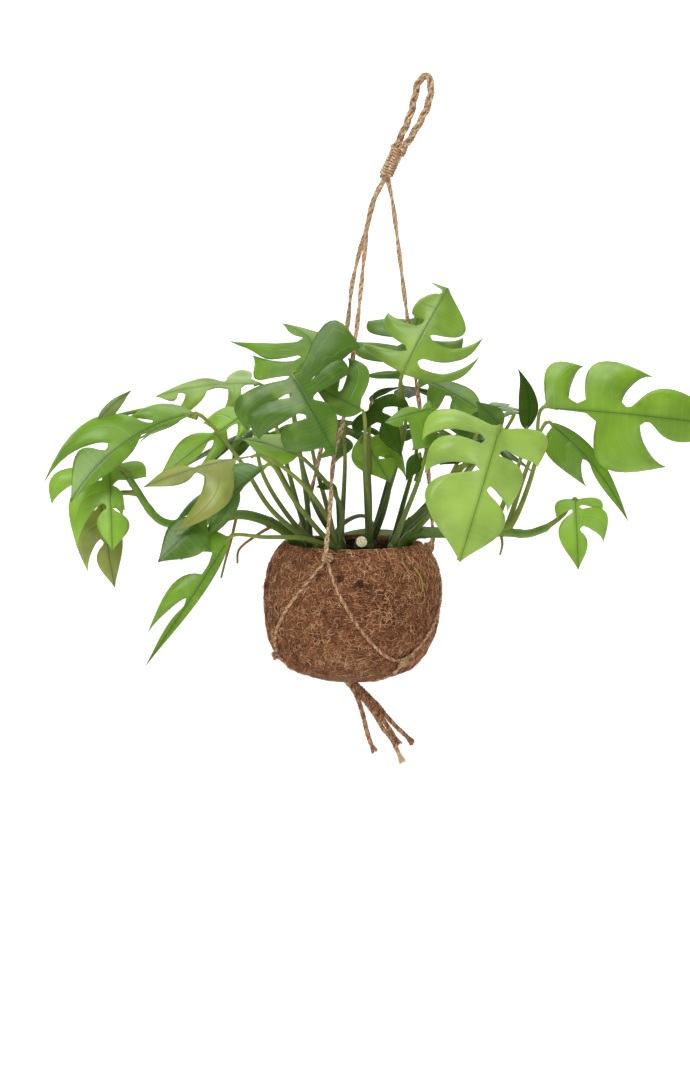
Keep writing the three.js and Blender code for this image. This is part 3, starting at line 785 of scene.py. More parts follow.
PLANT = (
    Stem(
        name="leafy_stem_left_front",
        root=(-30, -22),
        radius=5,
        leaves=(
            Leaf(
                base=(-131, -48, 110), tip=(-234, 38), tone=Tone.MID,
                lobes=((-190, 106, 0, 0.26, 0.2), (-256, 62, 0.3, 0.58, 0.16), (-182, 87, 0.1, 0.34)),
                slope=(0.1, 0.5),
                width=(0.09, 0.16),
                bow=-0.1,
                petiole=((-96, -42, 72), (-68, -34, 30)),
            ),
            Leaf(
                base=(-214, -55, 102), tip=(-184, 128), tone=Tone.GREY,
                slope=(0, -0.6),
                width=(0.09, 0.16),
                arch=-0.1,
                petiole=((-196, -50, 108), (-160, -40, 114)),
                joins=(-130, -47, 107),
            ),
            Leaf(
                base=(-87, -22, 112), tip=(-163, 54), tone=Tone.FRESH,
                lobes=((-126, 104, 0, 0.34), (-131, 65, 0.26, 0.42), (-100, 88, 0, 0.16)),
                slope=(0.1, 0.6),
                width=(0.06, 0.14),
                petiole=((-76, -24, 60), (-52, -24, 22)),
            ),
        ),
    ),
    Stem(
        name="leafy_stem_left_back",
        root=(-36, 8),
        radius=5,
        leaves=(
            Leaf(
                base=(-77, 25, 137), tip=(-167, 126), tone=Tone.PALE,
                lobes=(
                    (-98, 157, 0.06, 0.3, 0.3), (-112, 120, 0.2, 0.34, 0.05),
                    (-180, 113, 0.52, 0.74, 0.1, 0.3),
                ),
                slope=(0, 2),
                width=(0.12, 0.17),
                petiole=((-62, 22, 90), (-46, 14, 30)),
            ),
            Leaf(
                base=(-52, -12, 143), tip=(-60, 189), tone=Tone.MID,
                lobes=((-85, 169, 0, 0.26, 0.15), (-105, 185, 0.34, 0.6, 0.2)),
                slope=(0, 0.7),
                width=(0.16, 0.5),
                bow=-0.4,
                petiole=((-46, 2, 90), (-38, 8, 30)),
            ),
            Leaf(
                base=(-80, 32, 100), tip=(-152, 58, 62), tone=Tone.SHADE,
                facing=(-0.3, 0.1, 1),
                petiole=((-66, 26, 70), (-44, 14, 24)),
            ),
        ),
    ),
    Stem(
        name="leafy_stem_left_runner",
        root=(-44, -8),
        radius=5,
        runners=(
            (
                (-44, -8, -4), (-58, -12, 12), (-92, -28, 26), (-130, -42, 21), (-160, -50, 22),
                (-188, -56, 56),
            ),
        ),
        threads=(
            ((-66, -17, 17), (-80, -30, 10), (-96, -36, -2), (-97, -38, -13)),
            ((-98, -30, 24), (-103, -31, 4), (-107, -32, -10), (-111, -33, -26)),
            ((-152, -48, 20), (-154, -50, 6), (-156, -51, -9)),
        ),
        leaves=(
            Leaf(
                base=(-204, -55, 66), tip=(-200, 3), tone=Tone.BRIGHT,
                lobes=(
                    (-250, 40, 0, 0.12, 0.3), (-228, 9, 0.17, 0.46, 0.4), (-172, 59, 0, 0.18, 0.6),
                    (-192, 28, 0.24, 0.5, 0.3),
                ),
                slope=(0.15, 0.5),
                width=(0.2, 0.16),
                petiole=((-190, -56, 60),),
                joins=(-184, -55, 50),
            ),
            Leaf(
                base=(-213, -42, 41), tip=(-200, -32), tone=Tone.OLIVE,
                lobes=((-223, -19, 0.12, 0.46, 0.4), (-192, 30, 0, 0.14)),
                slope=(0, 0.15),
                width=(0.17, 0.14),
                petiole=((-196, -48, 44),),
                joins=(-180, -54, 44),
            ),
        ),
    ),
    Stem(
        name="leafy_stem_front",
        root=(-12, -38),
        radius=4.5,
        leaves=(
            Leaf(
                base=(-77, -84, 74), tip=(-173, 49), tone=Tone.OLIVE,
                lobes=((-150, 28, 0.24, 0.5), (-128, 66, 0.3, 0.52)),
                slope=(-0.1, 1),
                width=(0.1, 0.1),
                petiole=((-45, -70, 54), (-20, -44, 22)),
            ),
            Leaf(
                base=(-69, -62, 67), tip=(-161, -3), tone=Tone.DEEP,
                lobes=((-133, 8, 0.28, 0.55), (-117, 54, 0.06, 0.28), (-148, 28, 0.34, 0.56)),
                slope=(0.1, 0.6),
                width=(0.15, 0.13),
                petiole=((-50, -54, 40), (-24, -42, 10)),
            ),
            Leaf(
                base=(-101, -92, 14), tip=(-171, -88), tone=Tone.MID,
                lobes=((-142, -3, 0, 0.16, 0.3), (-167, -60, 0.3, 0.5, 0.3)),
                slope=(0.2, 0.2),
                width=(0.05, 0.03),
                petiole=((-74, -76, 12), (-40, -54, 9)),
            ),
            Leaf(
                base=(-45, -58, 74), tip=(-92, 88), tone=Tone.FRESH,
                slope=(0, 0.9),
                width=(0.3, 0.3),
                petiole=((-20, -40, 50), (-9, -36, 30)),
            ),
        ),
    ),
    Stem(
        name="leafy_stem_middle",
        root=(-10, 0),
        radius=5,
        leaves=(
            Leaf(
                base=(-50, -75, 141), tip=(-14, 74), tone=Tone.DEEP,
                lobes=(
                    (-86, 98, 0, 0.16, 0.5), (-76, 90, 0.2, 0.42, 0.5), (-54, 80, 0.5, 0.86, 0.4),
                    (9, 170, 0, 0.12, 1), (0, 146, 0.14, 0.3, 0.5),
                ),
                slope=(0.1, 0.35),
                width=(0.22, 0.2),
                petiole=((-46, -34, 84), (-30, -14, 30)),
            ),
            Leaf(
                base=(-16, 6, 50), tip=(-31, 48), tone=Tone.SHADE,
                slope=(0, 0.6),
                width=(0.25, 0.25),
                petiole=((-13, 4, 40),),
            ),
            Leaf(
                base=(-8, 55, 108), tip=(-14, 118, 72), tone=Tone.SHADE,
                facing=(0, 0.4, 1),
                petiole=((-6, 44, 78), (-8, 16, 26)),
            ),
        ),
    ),
    Stem(
        name="leafy_stem_centre",
        root=(14, -22),
        radius=4.5,
        leaves=(
            Leaf(
                base=(9, -55, 112), tip=(-33, 133), tone=Tone.SAGE,
                lobes=((-4, 158, 0.1, 0.5),),
                slope=(0, 0.2),
                width=(0.26, 0.42),
                petiole=((11, -42, 60), (15, -26, 20)),
            ),
            Leaf(
                base=(17, -20, 122), tip=(42, 74), tone=Tone.SHADE,
                lobes=((50, 112, 0, 0.2), (4, 92, 0.1, 0.35)),
                slope=(0, 0.2),
                petiole=((14, -18, 80), (15, -20, 30)),
            ),
            Leaf(
                base=(8, -6, 92), tip=(32, 52), tone=Tone.FRESH,
                lobes=((46, 58, 0.1, 0.5, 0.6),),
                slope=(0, 0.3),
                width=(0.3, 0.36),
                petiole=((10.6, -11, 62), (13, -18, 20)),
            ),
        ),
    ),
    Stem(
        name="leafy_stem_right_front",
        root=(34, -30),
        radius=4.5,
        leaves=(
            Leaf(
                base=(68, -45, 114), tip=(27, 102), tone=Tone.MID,
                lobes=((50, 81, 0.05, 0.55, 0.4), (64, 121, 0, 0.2)),
                slope=(0, 0.4),
                petiole=((58, -40, 60), (42, -34, 20)),
            ),
            Leaf(
                base=(57, -38, 76), tip=(45, 53), tone=Tone.SHADE,
                slope=(0, 0.3),
                width=(0.24, 0.24),
                petiole=((56.6, -38.6, 66),),
                joins=(55, -38, 53),
            ),
        ),
    ),
    Stem(
        name="leafy_stem_upright",
        root=(16, 4),
        radius=5,
        leaves=(
            Leaf(
                base=(42, -16, 144), tip=(82, 218), tone=Tone.PALE,
                lobes=(
                    (9, 173, 0, 0.2, 0.05, 0.3), (30, 200, 0.26, 0.5, 0.12, 0.2),
                    (57, 212, 0.58, 0.9, 0.45), (107, 163, 0, 0.14, 0.1, 0.5),
                    (110, 179, 0.22, 0.44, 0.1, 0.4),
                ),
                slope=(-0.1, 0.3),
                width=(0.2, 0.36),
                petiole=((39, -2, 97), (28, 2, 30)),
            ),
            Leaf(
                base=(42, 28, 140), tip=(60, 205), tone=Tone.SAGE,
                lobes=(
                    (14, 147, 0, 0.1), (4, 176, 0.18, 0.42), (14, 194, 0.52, 0.78),
                    (96, 180, 0.36, 0.6),
                ),
                slope=(0, 0.3),
                width=(0.1, 0.1),
                curl=0.06,
                petiole=((46, 22, 104), (30, 12, 40)),
            ),
            Leaf(
                base=(44, 44, 136), tip=(50, 108, 128), tone=Tone.SHADE,
                facing=(0, 0.1, 1),
                petiole=((42, 34, 100), (26, 14, 34)),
            ),
        ),
    ),
    Stem(
        name="leafy_stem_right_back",
        root=(36, 24),
        radius=4.5,
        runners=(
            ((36, 24, -4), (44, 24, 10), (60, 28, 24), (80, 34, 36)),
        ),
        leaves=(
            Leaf(
                base=(110, 14, 114), tip=(57, 144), tone=Tone.MID,
                lobes=((86, 104, 0.05, 0.4), (66, 118, 0.5, 0.78)),
                slope=(0, 0.8),
                width=(0.14, 0.2),
                petiole=((92, 22, 60), (58, 26, 22)),
            ),
            Leaf(
                base=(122, 40, 104), tip=(72, 106), tone=Tone.DEEP,
                slope=(0, 0.4),
                width=(0.3, 0.24),
                petiole=((104, 38, 66), (62, 28, 22)),
            ),
            Leaf(
                base=(60, 62, 104), tip=(84, 130, 72), tone=Tone.SHADE,
                facing=(0.2, 0.3, 1),
                petiole=((54, 50, 70), (42, 32, 24)),
            ),
            Leaf(
                base=(104, 52, 96), tip=(158, 84, 62), tone=Tone.SHADE,
                facing=(0.3, 0, 1),
                petiole=((84, 46, 56), (52, 32, 18)),
            ),
            Leaf(
                base=(140, 46, 112), tip=(122, 96, 124), tone=Tone.DEEP,
                facing=(0, 0, 1),
                petiole=((122, 48, 84),),
                joins=(88, 47, 62),
            ),
        ),
    ),
    Stem(
        name="leafy_stem_right_runner",
        root=(42, -6),
        radius=5.5,
        runners=(
            ((42, -6, -4), (52, -10, 8), (84, -12, 10), (131, -9, 10), (150, -9, 9), (166, -9, 14)),
        ),
        threads=(
            ((92, -13, 8), (92, -14, -4), (90, -15, -13)),
            ((127, -10, 8), (128, -12, 0), (126, -12, -9)),
        ),
        leaves=(
            Leaf(
                base=(124, -66, 99), tip=(89, -4), tone=Tone.LIME,
                lobes=(
                    (60, 90, 0, 0.1, 0.5, 0.25), (62, 62, 0.15, 0.32, 0.4, 0.15),
                    (156, 66, 0, 0.16, 0.8), (130, 33, 0.2, 0.44, 0.5),
                ),
                slope=(0.1, 0.35),
                width=(0.22, 0.36),
                petiole=((101, -46, 67), (68, -24, 28)),
            ),
            Leaf(
                base=(126, -44, 98), tip=(104, 120), tone=Tone.DEEP,
                slope=(0.3, 0.4),
                width=(0.35, 0.35),
                petiole=((112, -48, 80),),
                joins=(101, -46, 67),
            ),
            Leaf(
                base=(97, -54, 79), tip=(73, 66), tone=Tone.SHADE,
                width=(0.24, 0.24),
                petiole=((100, -50, 75),),
                joins=(101, -46, 67),
            ),
            Leaf(
                base=(162, 0, 116), tip=(328, 99), tone=Tone.FRESH,
                lobes=((200, 155, 0, 0.13, 0.4), (260, 147, 0.2, 0.4, 0.5), (271, 70, 0.26, 0.5, 0.6)),
                slope=(0.1, 0.35),
                width=(0.16, 0.11),
                petiole=((156, -4, 69), (141, -8, 26)),
                joins=(131, -9, 10),
            ),
            Leaf(
                base=(190, -10, 39), tip=(192, -20), tone=Tone.BRIGHT,
                lobes=((175, 22, 0, 0.16, 0.5), (213, 28, 0, 0.1, 0.4), (214, 4, 0.14, 0.4, 0.6)),
                slope=(0, 0.3),
                width=(0.14, 0.25),
                petiole=((180, -9, 25),),
                joins=(164, -9, 13),
            ),
            Leaf(
                base=(168, 28, 105), tip=(237, 17), tone=Tone.MID,
                lobes=((202, 49, 0.04, 0.4, 0.5),),
                slope=(0, 0.2),
                width=(0.08, 0.05),
                bow=0.06,
                petiole=((152, 18, 70), (136, 0, 24)),
                joins=(131, -9, 10),
            ),
            Leaf(
                base=(150, 34, 98), tip=(143, 151), tone=Tone.SHADE,
                slope=(0.5, 0.2),
                width=(0.18, 0.16),
                bow=-0.1,
                petiole=((144, 26, 70), (128, 4, 30)),
                joins=(120, -9, 10),
            ),
        ),
    ),
    Stem(
        name="leafy_stem_back",
        root=(-16, 38),
        radius=4.5,
        leaves=(
            Leaf(
                base=(-40, 66, 108), tip=(-70, 126, 84), tone=Tone.SHADE,
                facing=(-0.2, 0.3, 1),
                petiole=((-32, 54, 70), (-20, 42, 22)),
            ),
            Leaf(
                base=(20, 82, 6), tip=(36, 112, -74), tone=Tone.MID,
                facing=(0.3, 1, 0.3),
                petiole=((10, 72, 18), (-8, 50, 12)),
            ),
        ),
    ),
)


def mix(start: Pair, end: Pair, share: float) -> Pair:
    """Finds the point a share of the way from one flat point to another.

    Args:
        start: The first point.
        end: The second point.
        share: The share of the way.

    Returns:
        The point between them.
    """
    return (start[0] + (end[0] - start[0]) * share, start[1] + (end[1] - start[1]) * share)


def bend(start: Pair, pull: Pair, end: Pair, share: float) -> Pair:
    """Finds a point on the curve that leaves one flat point towards a second and ends at a third.

    Args:
        start: The curve's first point.
        pull: The point that it bends towards.
        end: The curve's last point.
        share: How far along the curve.

    Returns:
        The curve's point.
    """
    return mix(mix(start, pull, share), mix(pull, end, share), share)


@dataclass
class LobeCurve:
    """One lobe's two edges in shares of the blade's length, from its root to its tip."""

    near: Pair
    near_pull: Pair
    far: Pair
    far_pull: Pair
    tip: Pair
    slim: float = 0.0

    def at(self, reach: float, share: float) -> Pair:
        """Returns a flat point of the lobe.

        Args:
            reach: How far out, from 0 at the root to 1 at the tip.
            share: How far across, from 0 at the near edge to 1 at the far one.

        Returns:
            The point along and across the blade.
        """
        near = bend(self.near, self.near_pull, self.tip, reach)
        far = bend(self.far, self.far_pull, self.tip, reach)
        pinch = self.slim * min(1.0, reach * 2.5) + (0.9 - self.slim) * LOBE_TAPER * reach**4
        return mix(near, far, 0.5 + (share - 0.5) * (1 - pinch))


class HalfBlade:
    """One half of a blade: the edge of the band beside the midrib, and the lobes that leave it."""

    def __init__(self, side: int, lobes: list[tuple[float, ...]], width: float, cut: float) -> None:
        """Lays out the half.

        Args:
            side: 1 on the left and -1 on the right.
            lobes: The lobes' tips, roots and swell, from the base on.
            width: Half the end lobe's breadth on this side.
            cut: How deep the slits go.
        """
        self.edge: list[Pair] = [(0.0, 0.0)]
        self.lobes: list[LobeCurve] = []
        for i, (along, across, start, end, *swells) in enumerate(lobes):
            swell = swells[0] if swells else USUAL_SWELL
            slim = swells[1] if len(swells) > 1 else 0.0
            band = side * max(0.025, cut * abs(across))
            near = (start + 0.015, band * 0.5 if start < 0.05 and i == 0 else band)
            far = (end, band)
            out = (-abs(across), side * (along - (start + end) / 2))
            pull = (near[0] + (along - near[0]) * 0.2 + out[0] * swell, across * 1.16 + out[1] * swell)
            far_pull = (far[0] + (along - far[0]) * 0.1, across * 0.66)
            following = lobes[i + 1][2] if i + 1 < len(lobes) else end + 0.05
            if i == 0 and start > 0.08:
                self.edge.append((start - 0.04, side * 0.012))
            self.lobes.append(LobeCurve(near, pull, far, far_pull, (along, across), slim))
            self.edge += [near, far, ((end + following) / 2 + 0.005, band * 0.55)]
        last = lobes[-1][3] + 0.06 if lobes else 0.06
        start_point = (last, side * width * (0.3 if lobes else 0.45))
        bulge = (last + (1 - last) * 0.3, side * width * 1.9)
        for i in range(15):
            along, breadth = bend(start_point, bulge, (1.0, 0.0), i / 14)
            self.edge.append((along, breadth * (1 - LOBE_TAPER * (i / 14) ** 4)))

    def breadth(self, along: float) -> float:
        """Measures how far the band reaches across.

        Args:
            along: The share of the blade's length.

        Returns:
            The breadth, as a share of the length.
        """
        for (start, first), (end, second) in zip(self.edge, self.edge[1:]):
            if start <= along <= end:
                return first + (second - first) * (along - start) / max(end - start, 1e-6)
        return 0.0


class Blade:
    """A split leaf blade in fine mesh, on the same lines as the solid's."""

    steps_along = 40
    shares_across = (0.0, 0.035, 0.12, 0.3, 0.55, 0.8, 1.0)
    lobe_rows = 10
    thickness = 0.8
    ripple = 0.03
    camber = 0.035
    groove_depth = 0.4
    groove_width = 0.9
    lobe_reach = 60

    def __init__(self, leaf: Leaf, seed: int) -> None:
        """Sets the blade's plane and its two halves.

        Args:
            leaf: The leaf it belongs to.
            seed: Which small waves it has.
        """
        self.leaf = leaf
        self.seed = seed
        self.base = Vector(as_seen(leaf.base))
        if leaf.facing:
            self.tip = Vector(as_seen(leaf.tip))
            facing = Vector(leaf.facing)
            lobes = list(USUAL_LOBES if leaf.lobes is None else leaf.lobes)
        else:
            self.tip = self.on_plane(leaf.tip[0], leaf.tip[1])
            facing = Vector((leaf.slope[0], -1.0, leaf.slope[1])).normalized()
            lobes = [self.share_of(facing, *lobe) for lobe in leaf.lobes or ()]
        self.length = (self.tip - self.base).length
        self.forward = (self.tip - self.base).normalized()
        self.up = (facing - self.forward * facing.dot(self.forward)).normalized()
        self.across = self.up.cross(self.forward)
        self.halves = {}
        for side, width in zip((1, -1), leaf.width):
            own = sorted((lobe for lobe in lobes if lobe[1] * side > 0), key=lambda lobe: lobe[2])
            self.halves[side] = HalfBlade(side, own, width, leaf.cut)

    def on_plane(self, x: float, z: float) -> Vector:
        """Finds a point of a front leaf's plane.

        Args:
            x: Its place to the right, as the front shows it.
            z: Its height, as the front shows it.

        Returns:
            The point in millimetres from the crown.
        """
        leaf = self.leaf
        depth = leaf.base[1] + leaf.slope[0] * (x - leaf.base[0]) + leaf.slope[1] * (z - leaf.base[2])
        return Vector(as_seen((x, depth, z)))

    def share_of(self, facing: Vector, x: float, z: float, *root: float) -> tuple[float, ...]:
        """Turns a lobe's tip from front coordinates into shares of the blade's length.

        Args:
            facing: The way the plane faces.
            x: The tip's place to the right.
            z: The tip's height.
            *root: The lobe's root and swell, kept as they are.

        Returns:
            The lobe along and across the blade.
        """
        length = (self.tip - self.base).length
        forward = (self.tip - self.base).normalized()
        sideways = facing.cross(forward)
        away = self.on_plane(x, z) - self.base
        along = away.dot(forward) / length
        return (along, away.dot(sideways) / length - self.bow_at(along), *root)

    def bow_at(self, along: float) -> float:
        """Measures how far the bent midrib stands to the left.

        Args:
            along: The share of the blade's length.

        Returns:
            The distance, as a share of the length.
        """
        return self.leaf.bow * 4 * max(0.0, along * (1 - along))

    def place(self, along: float, across: float, reach: float = 0.0, off: float = 0.0) -> Vector:
        """Lifts a flat point of the blade off its plane.

        Args:
            along: The share of the blade's length from the base.
            across: The share of it to the left.
            reach: How far out the point is on its lobe.
            off: How far it is from the lobe's middle, up to a half at the lobe's edges.

        Returns:
            The point in millimetres from the crown.
        """
        leaf = self.leaf
        lift = leaf.arch * 4 * along * (1 - along) - leaf.fold * abs(across)
        lift -= leaf.curl * reach * reach * math.hypot(along, across)
        ripple = noise.noise(Vector((along * 3.2, across * 4.5, self.seed * 1.7)))
        lift += self.ripple * ripple * min(1.0, abs(across) * 5)
        lift -= self.camber * (2 * off) ** 2 * min(1.0, reach * 2.5) * (1 - reach**3)
        millimetres = abs(across) * self.length
        lift -= self.groove_depth * math.exp(-((millimetres / self.groove_width) ** 2)) / self.length
        return (
            self.base
            + self.forward * (along * self.length)
            + self.across * ((across + self.bow_at(along)) * self.length)
            + self.up * (lift * self.length)
        )

    def heel(self) -> Vector:
        """Returns the point under the blade where its petiole ends."""
        return self.place(0.08, 0.0) + self.across * 0.1 - self.up * 1.1

    def stations(self) -> list[float]:
        """Returns where the mesh has a line across the blade, from its base to its tip."""
        marks = [0.0, 1.0]
        for half in self.halves.values():
            for lobe in half.lobes:
                for mark in (lobe.near[0], lobe.far[0]):
                    if all(abs(mark - other) > 0.004 for other in marks):
                        marks.append(mark)
        for i in range(1, self.steps_along):
            mark = i / self.steps_along
            if all(abs(mark - other) > 0.009 for other in marks):
                marks.append(mark)
        return sorted(marks)

    def mesh_into(self, whole: BMesh, colour: Colour, under: Colour) -> None:
        """Adds the blade to a leafy stem's mesh.

        Args:
            whole: The mesh it goes into.
            colour: The colour of its upper side.
            under: The colour of its lower side.
        """
        marks = self.stations()
        sheet = bmesh.new()
        vein = sheet.verts.layers.float_vector.new("vein")
        reach_of = sheet.verts.layers.float.new("reach")
        rows = len(self.shares_across) - 1
        bmesh.ops.create_grid(sheet, x_segments=len(marks) - 1, y_segments=2 * rows, size=0.5)
        grid = {}
        for vert in sheet.verts:
            i = round((vert.co.x + 0.5) * (len(marks) - 1))
            j = round((vert.co.y + 0.5) * 2 * rows) - rows
            side = 1 if j >= 0 else -1
            across = self.halves[side].breadth(marks[i]) * self.shares_across[abs(j)]
            vert.co = (marks[i], across, 0.0)
            vert[vein] = (marks[i], abs(across) * self.length, 0.5)
            grid[i, j] = vert
        for side, half in self.halves.items():
            for lobe in half.lobes:
                self.grow_lobe(sheet, grid, marks, side * rows, lobe)
        bmesh.ops.remove_doubles(sheet, verts=sheet.verts, dist=2e-4)
        for vert in sheet.verts:
            point = self.place(vert.co.x, vert.co.y, vert[reach_of], vert[vein][2])
            vert.co = placed(point + self.up * (self.thickness / 2))
        self.thicken(sheet, whole, colour, under)
        sheet.free()

    def grow_lobe(
        self, sheet: BMesh, grid: dict, marks: list[float], row: int, lobe: LobeCurve
    ) -> None:
        """Draws a lobe out of the edge of the band, row by row.

        Args:
            sheet: The flat mesh.
            grid: Its points by their place along and across.
            marks: Where its lines across stand.
            row: The row of points at the band's edge.
            lobe: The lobe's edges.
        """
        vein = sheet.verts.layers.float_vector["vein"]
        reach_of = sheet.verts.layers.float["reach"]
        first = min(range(len(marks)), key=lambda i: abs(marks[i] - lobe.near[0]))
        last = min(range(len(marks)), key=lambda i: abs(marks[i] - lobe.far[0]))
        span = max(marks[last] - marks[first], 1e-6)
        shares = [(marks[i] - marks[first]) / span for i in range(first, last + 1)]
        rows = abs(row)
        for i, share in zip(range(first, last + 1), shares):
            for j in range(1, rows + 1):
                vert = grid[i, int(math.copysign(j, row))]
                vert[vein] = (vert[vein][0], vert[vein][1], abs(share - 0.5))
        line = [grid[i, row] for i in range(first, last + 1)]
        starts = [vert.co.y for vert in line]
        for step in range(1, self.lobe_rows + 1):
            reach = step / self.lobe_rows
            edges = [sheet.edges.get((p, q)) for p, q in zip(line, line[1:])]
            grown = bmesh.ops.extrude_edge_only(sheet, edges=[edge for edge in edges if edge])
            fresh = {item for item in grown["geom"] if isinstance(item, BMVert)}
            following = []
            for vert in line:
                following.append(next(o for o in (e.other_vert(vert) for e in vert.link_edges) if o in fresh))
            for vert, share, start in zip(following, shares, starts):
                along, across = lobe.at(reach, share)
                vert.co = (along, across, 0.0)
                vert[reach_of] = reach
                distance = abs(start) * self.length + reach * self.lobe_reach
                vert[vein] = (lobe.near[0] + span * share, distance, abs(share - 0.5))
            line = following

    def thicken(self, sheet: BMesh, whole: BMesh, colour: Colour, under: Colour) -> None:
        """Gives the sheet its thickness and adds it to the whole.

        Args:
            sheet: The blade as one sheet, in place.
            whole: The mesh it goes into.
            colour: The colour of its upper side.
            under: The colour of its lower side.
        """
        tone = sheet.verts.layers.float_color.new("tone")
        for vert in sheet.verts:
            vert[tone] = colour
        upper = list(sheet.faces)
        grown = bmesh.ops.extrude_face_region(sheet, geom=upper, use_keep_orig=True)
        lower = [item for item in grown["geom"] if isinstance(item, BMVert)]
        bmesh.ops.translate(sheet, verts=lower, vec=self.up * (-self.thickness * MILLI))
        for vert in lower:
            vert[tone] = under
        bmesh.ops.recalc_face_normals(sheet, faces=sheet.faces)
        mesh = bpy.data.meshes.new("blade")
        sheet.to_mesh(mesh)
        whole.from_mesh(mesh)
        bpy.data.meshes.remove(mesh)


@dataclass
class Foliage:
    """The leafy stems: each one piece, with its petioles, runners, thin roots and blades."""

    workshop: Workshop
    root_depth: float = 28.0
    petiole_root: float = 2.5
    petiole_end: float = 1.3
    petiole_steps: int = 30
    runner_steps: int = 64
    runner_nodes: tuple[float, ...] = (0.2, 0.42, 0.62, 0.82)
    tone_spread: float = 0.12
    pale_side: tuple[int, int, int] = (150, 162, 96)
    pale_share: float = 0.26
    # dull is the little shine left to leaves in painted shade
    dull: float = 0.1

    def build(self) -> None:
        """Makes every leafy stem."""
        finishes = (LeafFinish().material(), StemFinish().material())
        for number, stem in enumerate(PLANT):
            self.workshop.piece(stem.name, self.stem_mesh(stem, number), "leaf", finishes, (stem.name,))

    def stem_mesh(self, stem: Stem, number: int) -> Mesh:
        """Makes one leafy stem.

        Args:
            stem: The stem.
            number: Its place in the plant, which seeds its small waves.

        Returns:
            Its mesh, with the leaf's finish on blades and the stem's on the rest.
        """
        whole = bmesh.new()
        tone = whole.verts.layers.float_color.new("tone")
        whole.verts.layers.float_vector.new("vein")
        hub = (*stem.root, -1.0)
        stalks = []
        for place, leaf in enumerate(stem.leaves):
            blade = Blade(leaf, number * 10 + place)
            shade = self.varied(leaf.tone, number * 7 + place)
            blade.mesh_into(whole, shade, self.underside(leaf.tone))
            path = [*map(as_seen, (leaf.joins or hub, *reversed(leaf.petiole), leaf.base)), blade.heel()]
            steps = self.petiole_steps
            radii = [self.petiole_radius(i / steps) for i in range(steps + 1)]
            stalks.append(Strand(smooth_line(path, steps), radii))
        for face in whole.faces:
            face.material_index = 0
        thick = [self.foot(stem)]
        for runner in stem.runners:
            steps = self.runner_steps
            radii = [self.runner_radius(stem.radius, i / steps) for i in range(steps + 1)]
            thick.append(Strand(smooth_line([as_seen(point) for point in runner], steps), radii))
        thin = [thread(smooth_line([as_seen(p) for p in points], 14), 1.5, 0.9) for points in stem.threads]
        for strands, sides, colour in (
            (stalks, 10, Tone.PETIOLE),
            (thick, 14, Tone.STEM),
            (thin, 6, Tone.ROOT),
        ):
            if not strands:
                continue
            start = len(whole.faces)
            points = len(whole.verts)
            mesh = tubes(strands, sides)
            whole.from_mesh(mesh)
            bpy.data.meshes.remove(mesh)
            whole.faces.ensure_lookup_table()
            whole.verts.ensure_lookup_table()
            for i in range(start, len(whole.faces)):
                whole.faces[i].material_index = 1
            for i in range(points, len(whole.verts)):
                whole.verts[i][tone] = self.stalk_colour(whole.verts[i].co, colour)
        result = bpy.data.meshes.new(stem.name)
        whole.to_mesh(result)
        whole.free()
        return result

    def stalk_colour(self, point: Vector, tone: Tone) -> Colour:
        """Returns the colour of a stalk, darker green near the crown, partly its own olive and partly painted
        shade.

        Args:
            point: A point of the stalk in metres.
            tone: The colour far from the crown.

        Returns:
            The colour.
        """
        plain = Vector(linear(*tone.value))
        if tone is Tone.ROOT:
            return tuple(plain)
        # towards the crown the stalk darkens: partly its own colour, partly painted shade under the leaves
        away = (point - placed((0.0, 0.0, -5.0))).length
        share = min(1.0, max(0.0, (away - 0.03) / 0.09))
        return tuple(Vector(linear(*Tone.CROWN.value)).lerp(plain, share))

    def foot(self, stem: Stem) -> Strand:
        """Makes the stem's foot, which stands in the soil and swells at its crown.

        Args:
            stem: The stem.

        Returns:
            The foot as a strand.
        """
        x, y = stem.root
        heights = (-self.root_depth, -12.0, -6.0, -2.0, 1.0, 3.0, 4.2)
        swell = (0.8, 0.95, 1.0, 1.0, 0.92, 0.72, 0.35)
        return Strand([Vector((x, y, z)) for z in heights], [stem.radius * size for size in swell])

    def petiole_radius(self, share: float) -> float:
        """Measures a petiole, which is sheathed at its root and kneed under the blade.

        Args:
            share: How far along the petiole.

        Returns:
            Its radius there.
        """
        radius = self.petiole_root + (self.petiole_end - self.petiole_root) * share
        knee = 0.35 * math.exp(-(((share - 0.9) / 0.035) ** 2))
        return radius + knee + 0.7 * math.exp(-((share / 0.12) ** 2))

    def runner_radius(self, radius: float, share: float) -> float:
        """Measures a runner, which has a raised ring at each node.

        Args:
            radius: The stem's radius.
            share: How far along the runner.

        Returns:
            Its radius there.
        """
        plain = radius * (0.96 - 0.36 * share)
        ring = max(math.exp(-(((share - node) / 0.012) ** 2)) for node in self.runner_nodes)
        return plain * (1 + 0.14 * ring)

    def varied(self, tone: Tone, seed: int) -> Colour:
        """Makes a tone's colour a little lighter or darker for each leaf.

        Args:
            tone: The tone.
            seed: The seed of the change.

        Returns:
            The colour, with how much it shines as its alpha.
        """
        change = 1 + self.tone_spread * (Random(seed).random() - 0.5)
        red, green, blue = linear(*tone.value)[:3]
        # leaves in painted shade get little shine
        return (red * change, green * change, blue * change, self.dull if tone is Tone.SHADE else 1.0)

    def underside(self, tone: Tone) -> Colour:
        """Makes the paler colour of a leaf's lower side; a leaf in painted shade keeps its dark colour.

        Args:
            tone: The tone of its upper side.

        Returns:
            The colour, with how much it shines as its alpha.
        """
        # painted shade: the lower side of a shaded leaf stays just as dark
        if tone is Tone.SHADE:
            return (*linear(*tone.value)[:3], self.dull)
        kept = 1 - self.pale_share
        pairs = zip(tone.value, self.pale_side)
        return linear(*[int(channel * kept + pale * self.pale_share) for channel, pale in pairs])


FIBRES = (
    ("coir_fibres_laid", 3950, 11, 0.0),
    ("coir_fibres_crossed", 3950, 12, 0.0),
    ("coir_fibres_loose", 1750, 13, 1.0),
)


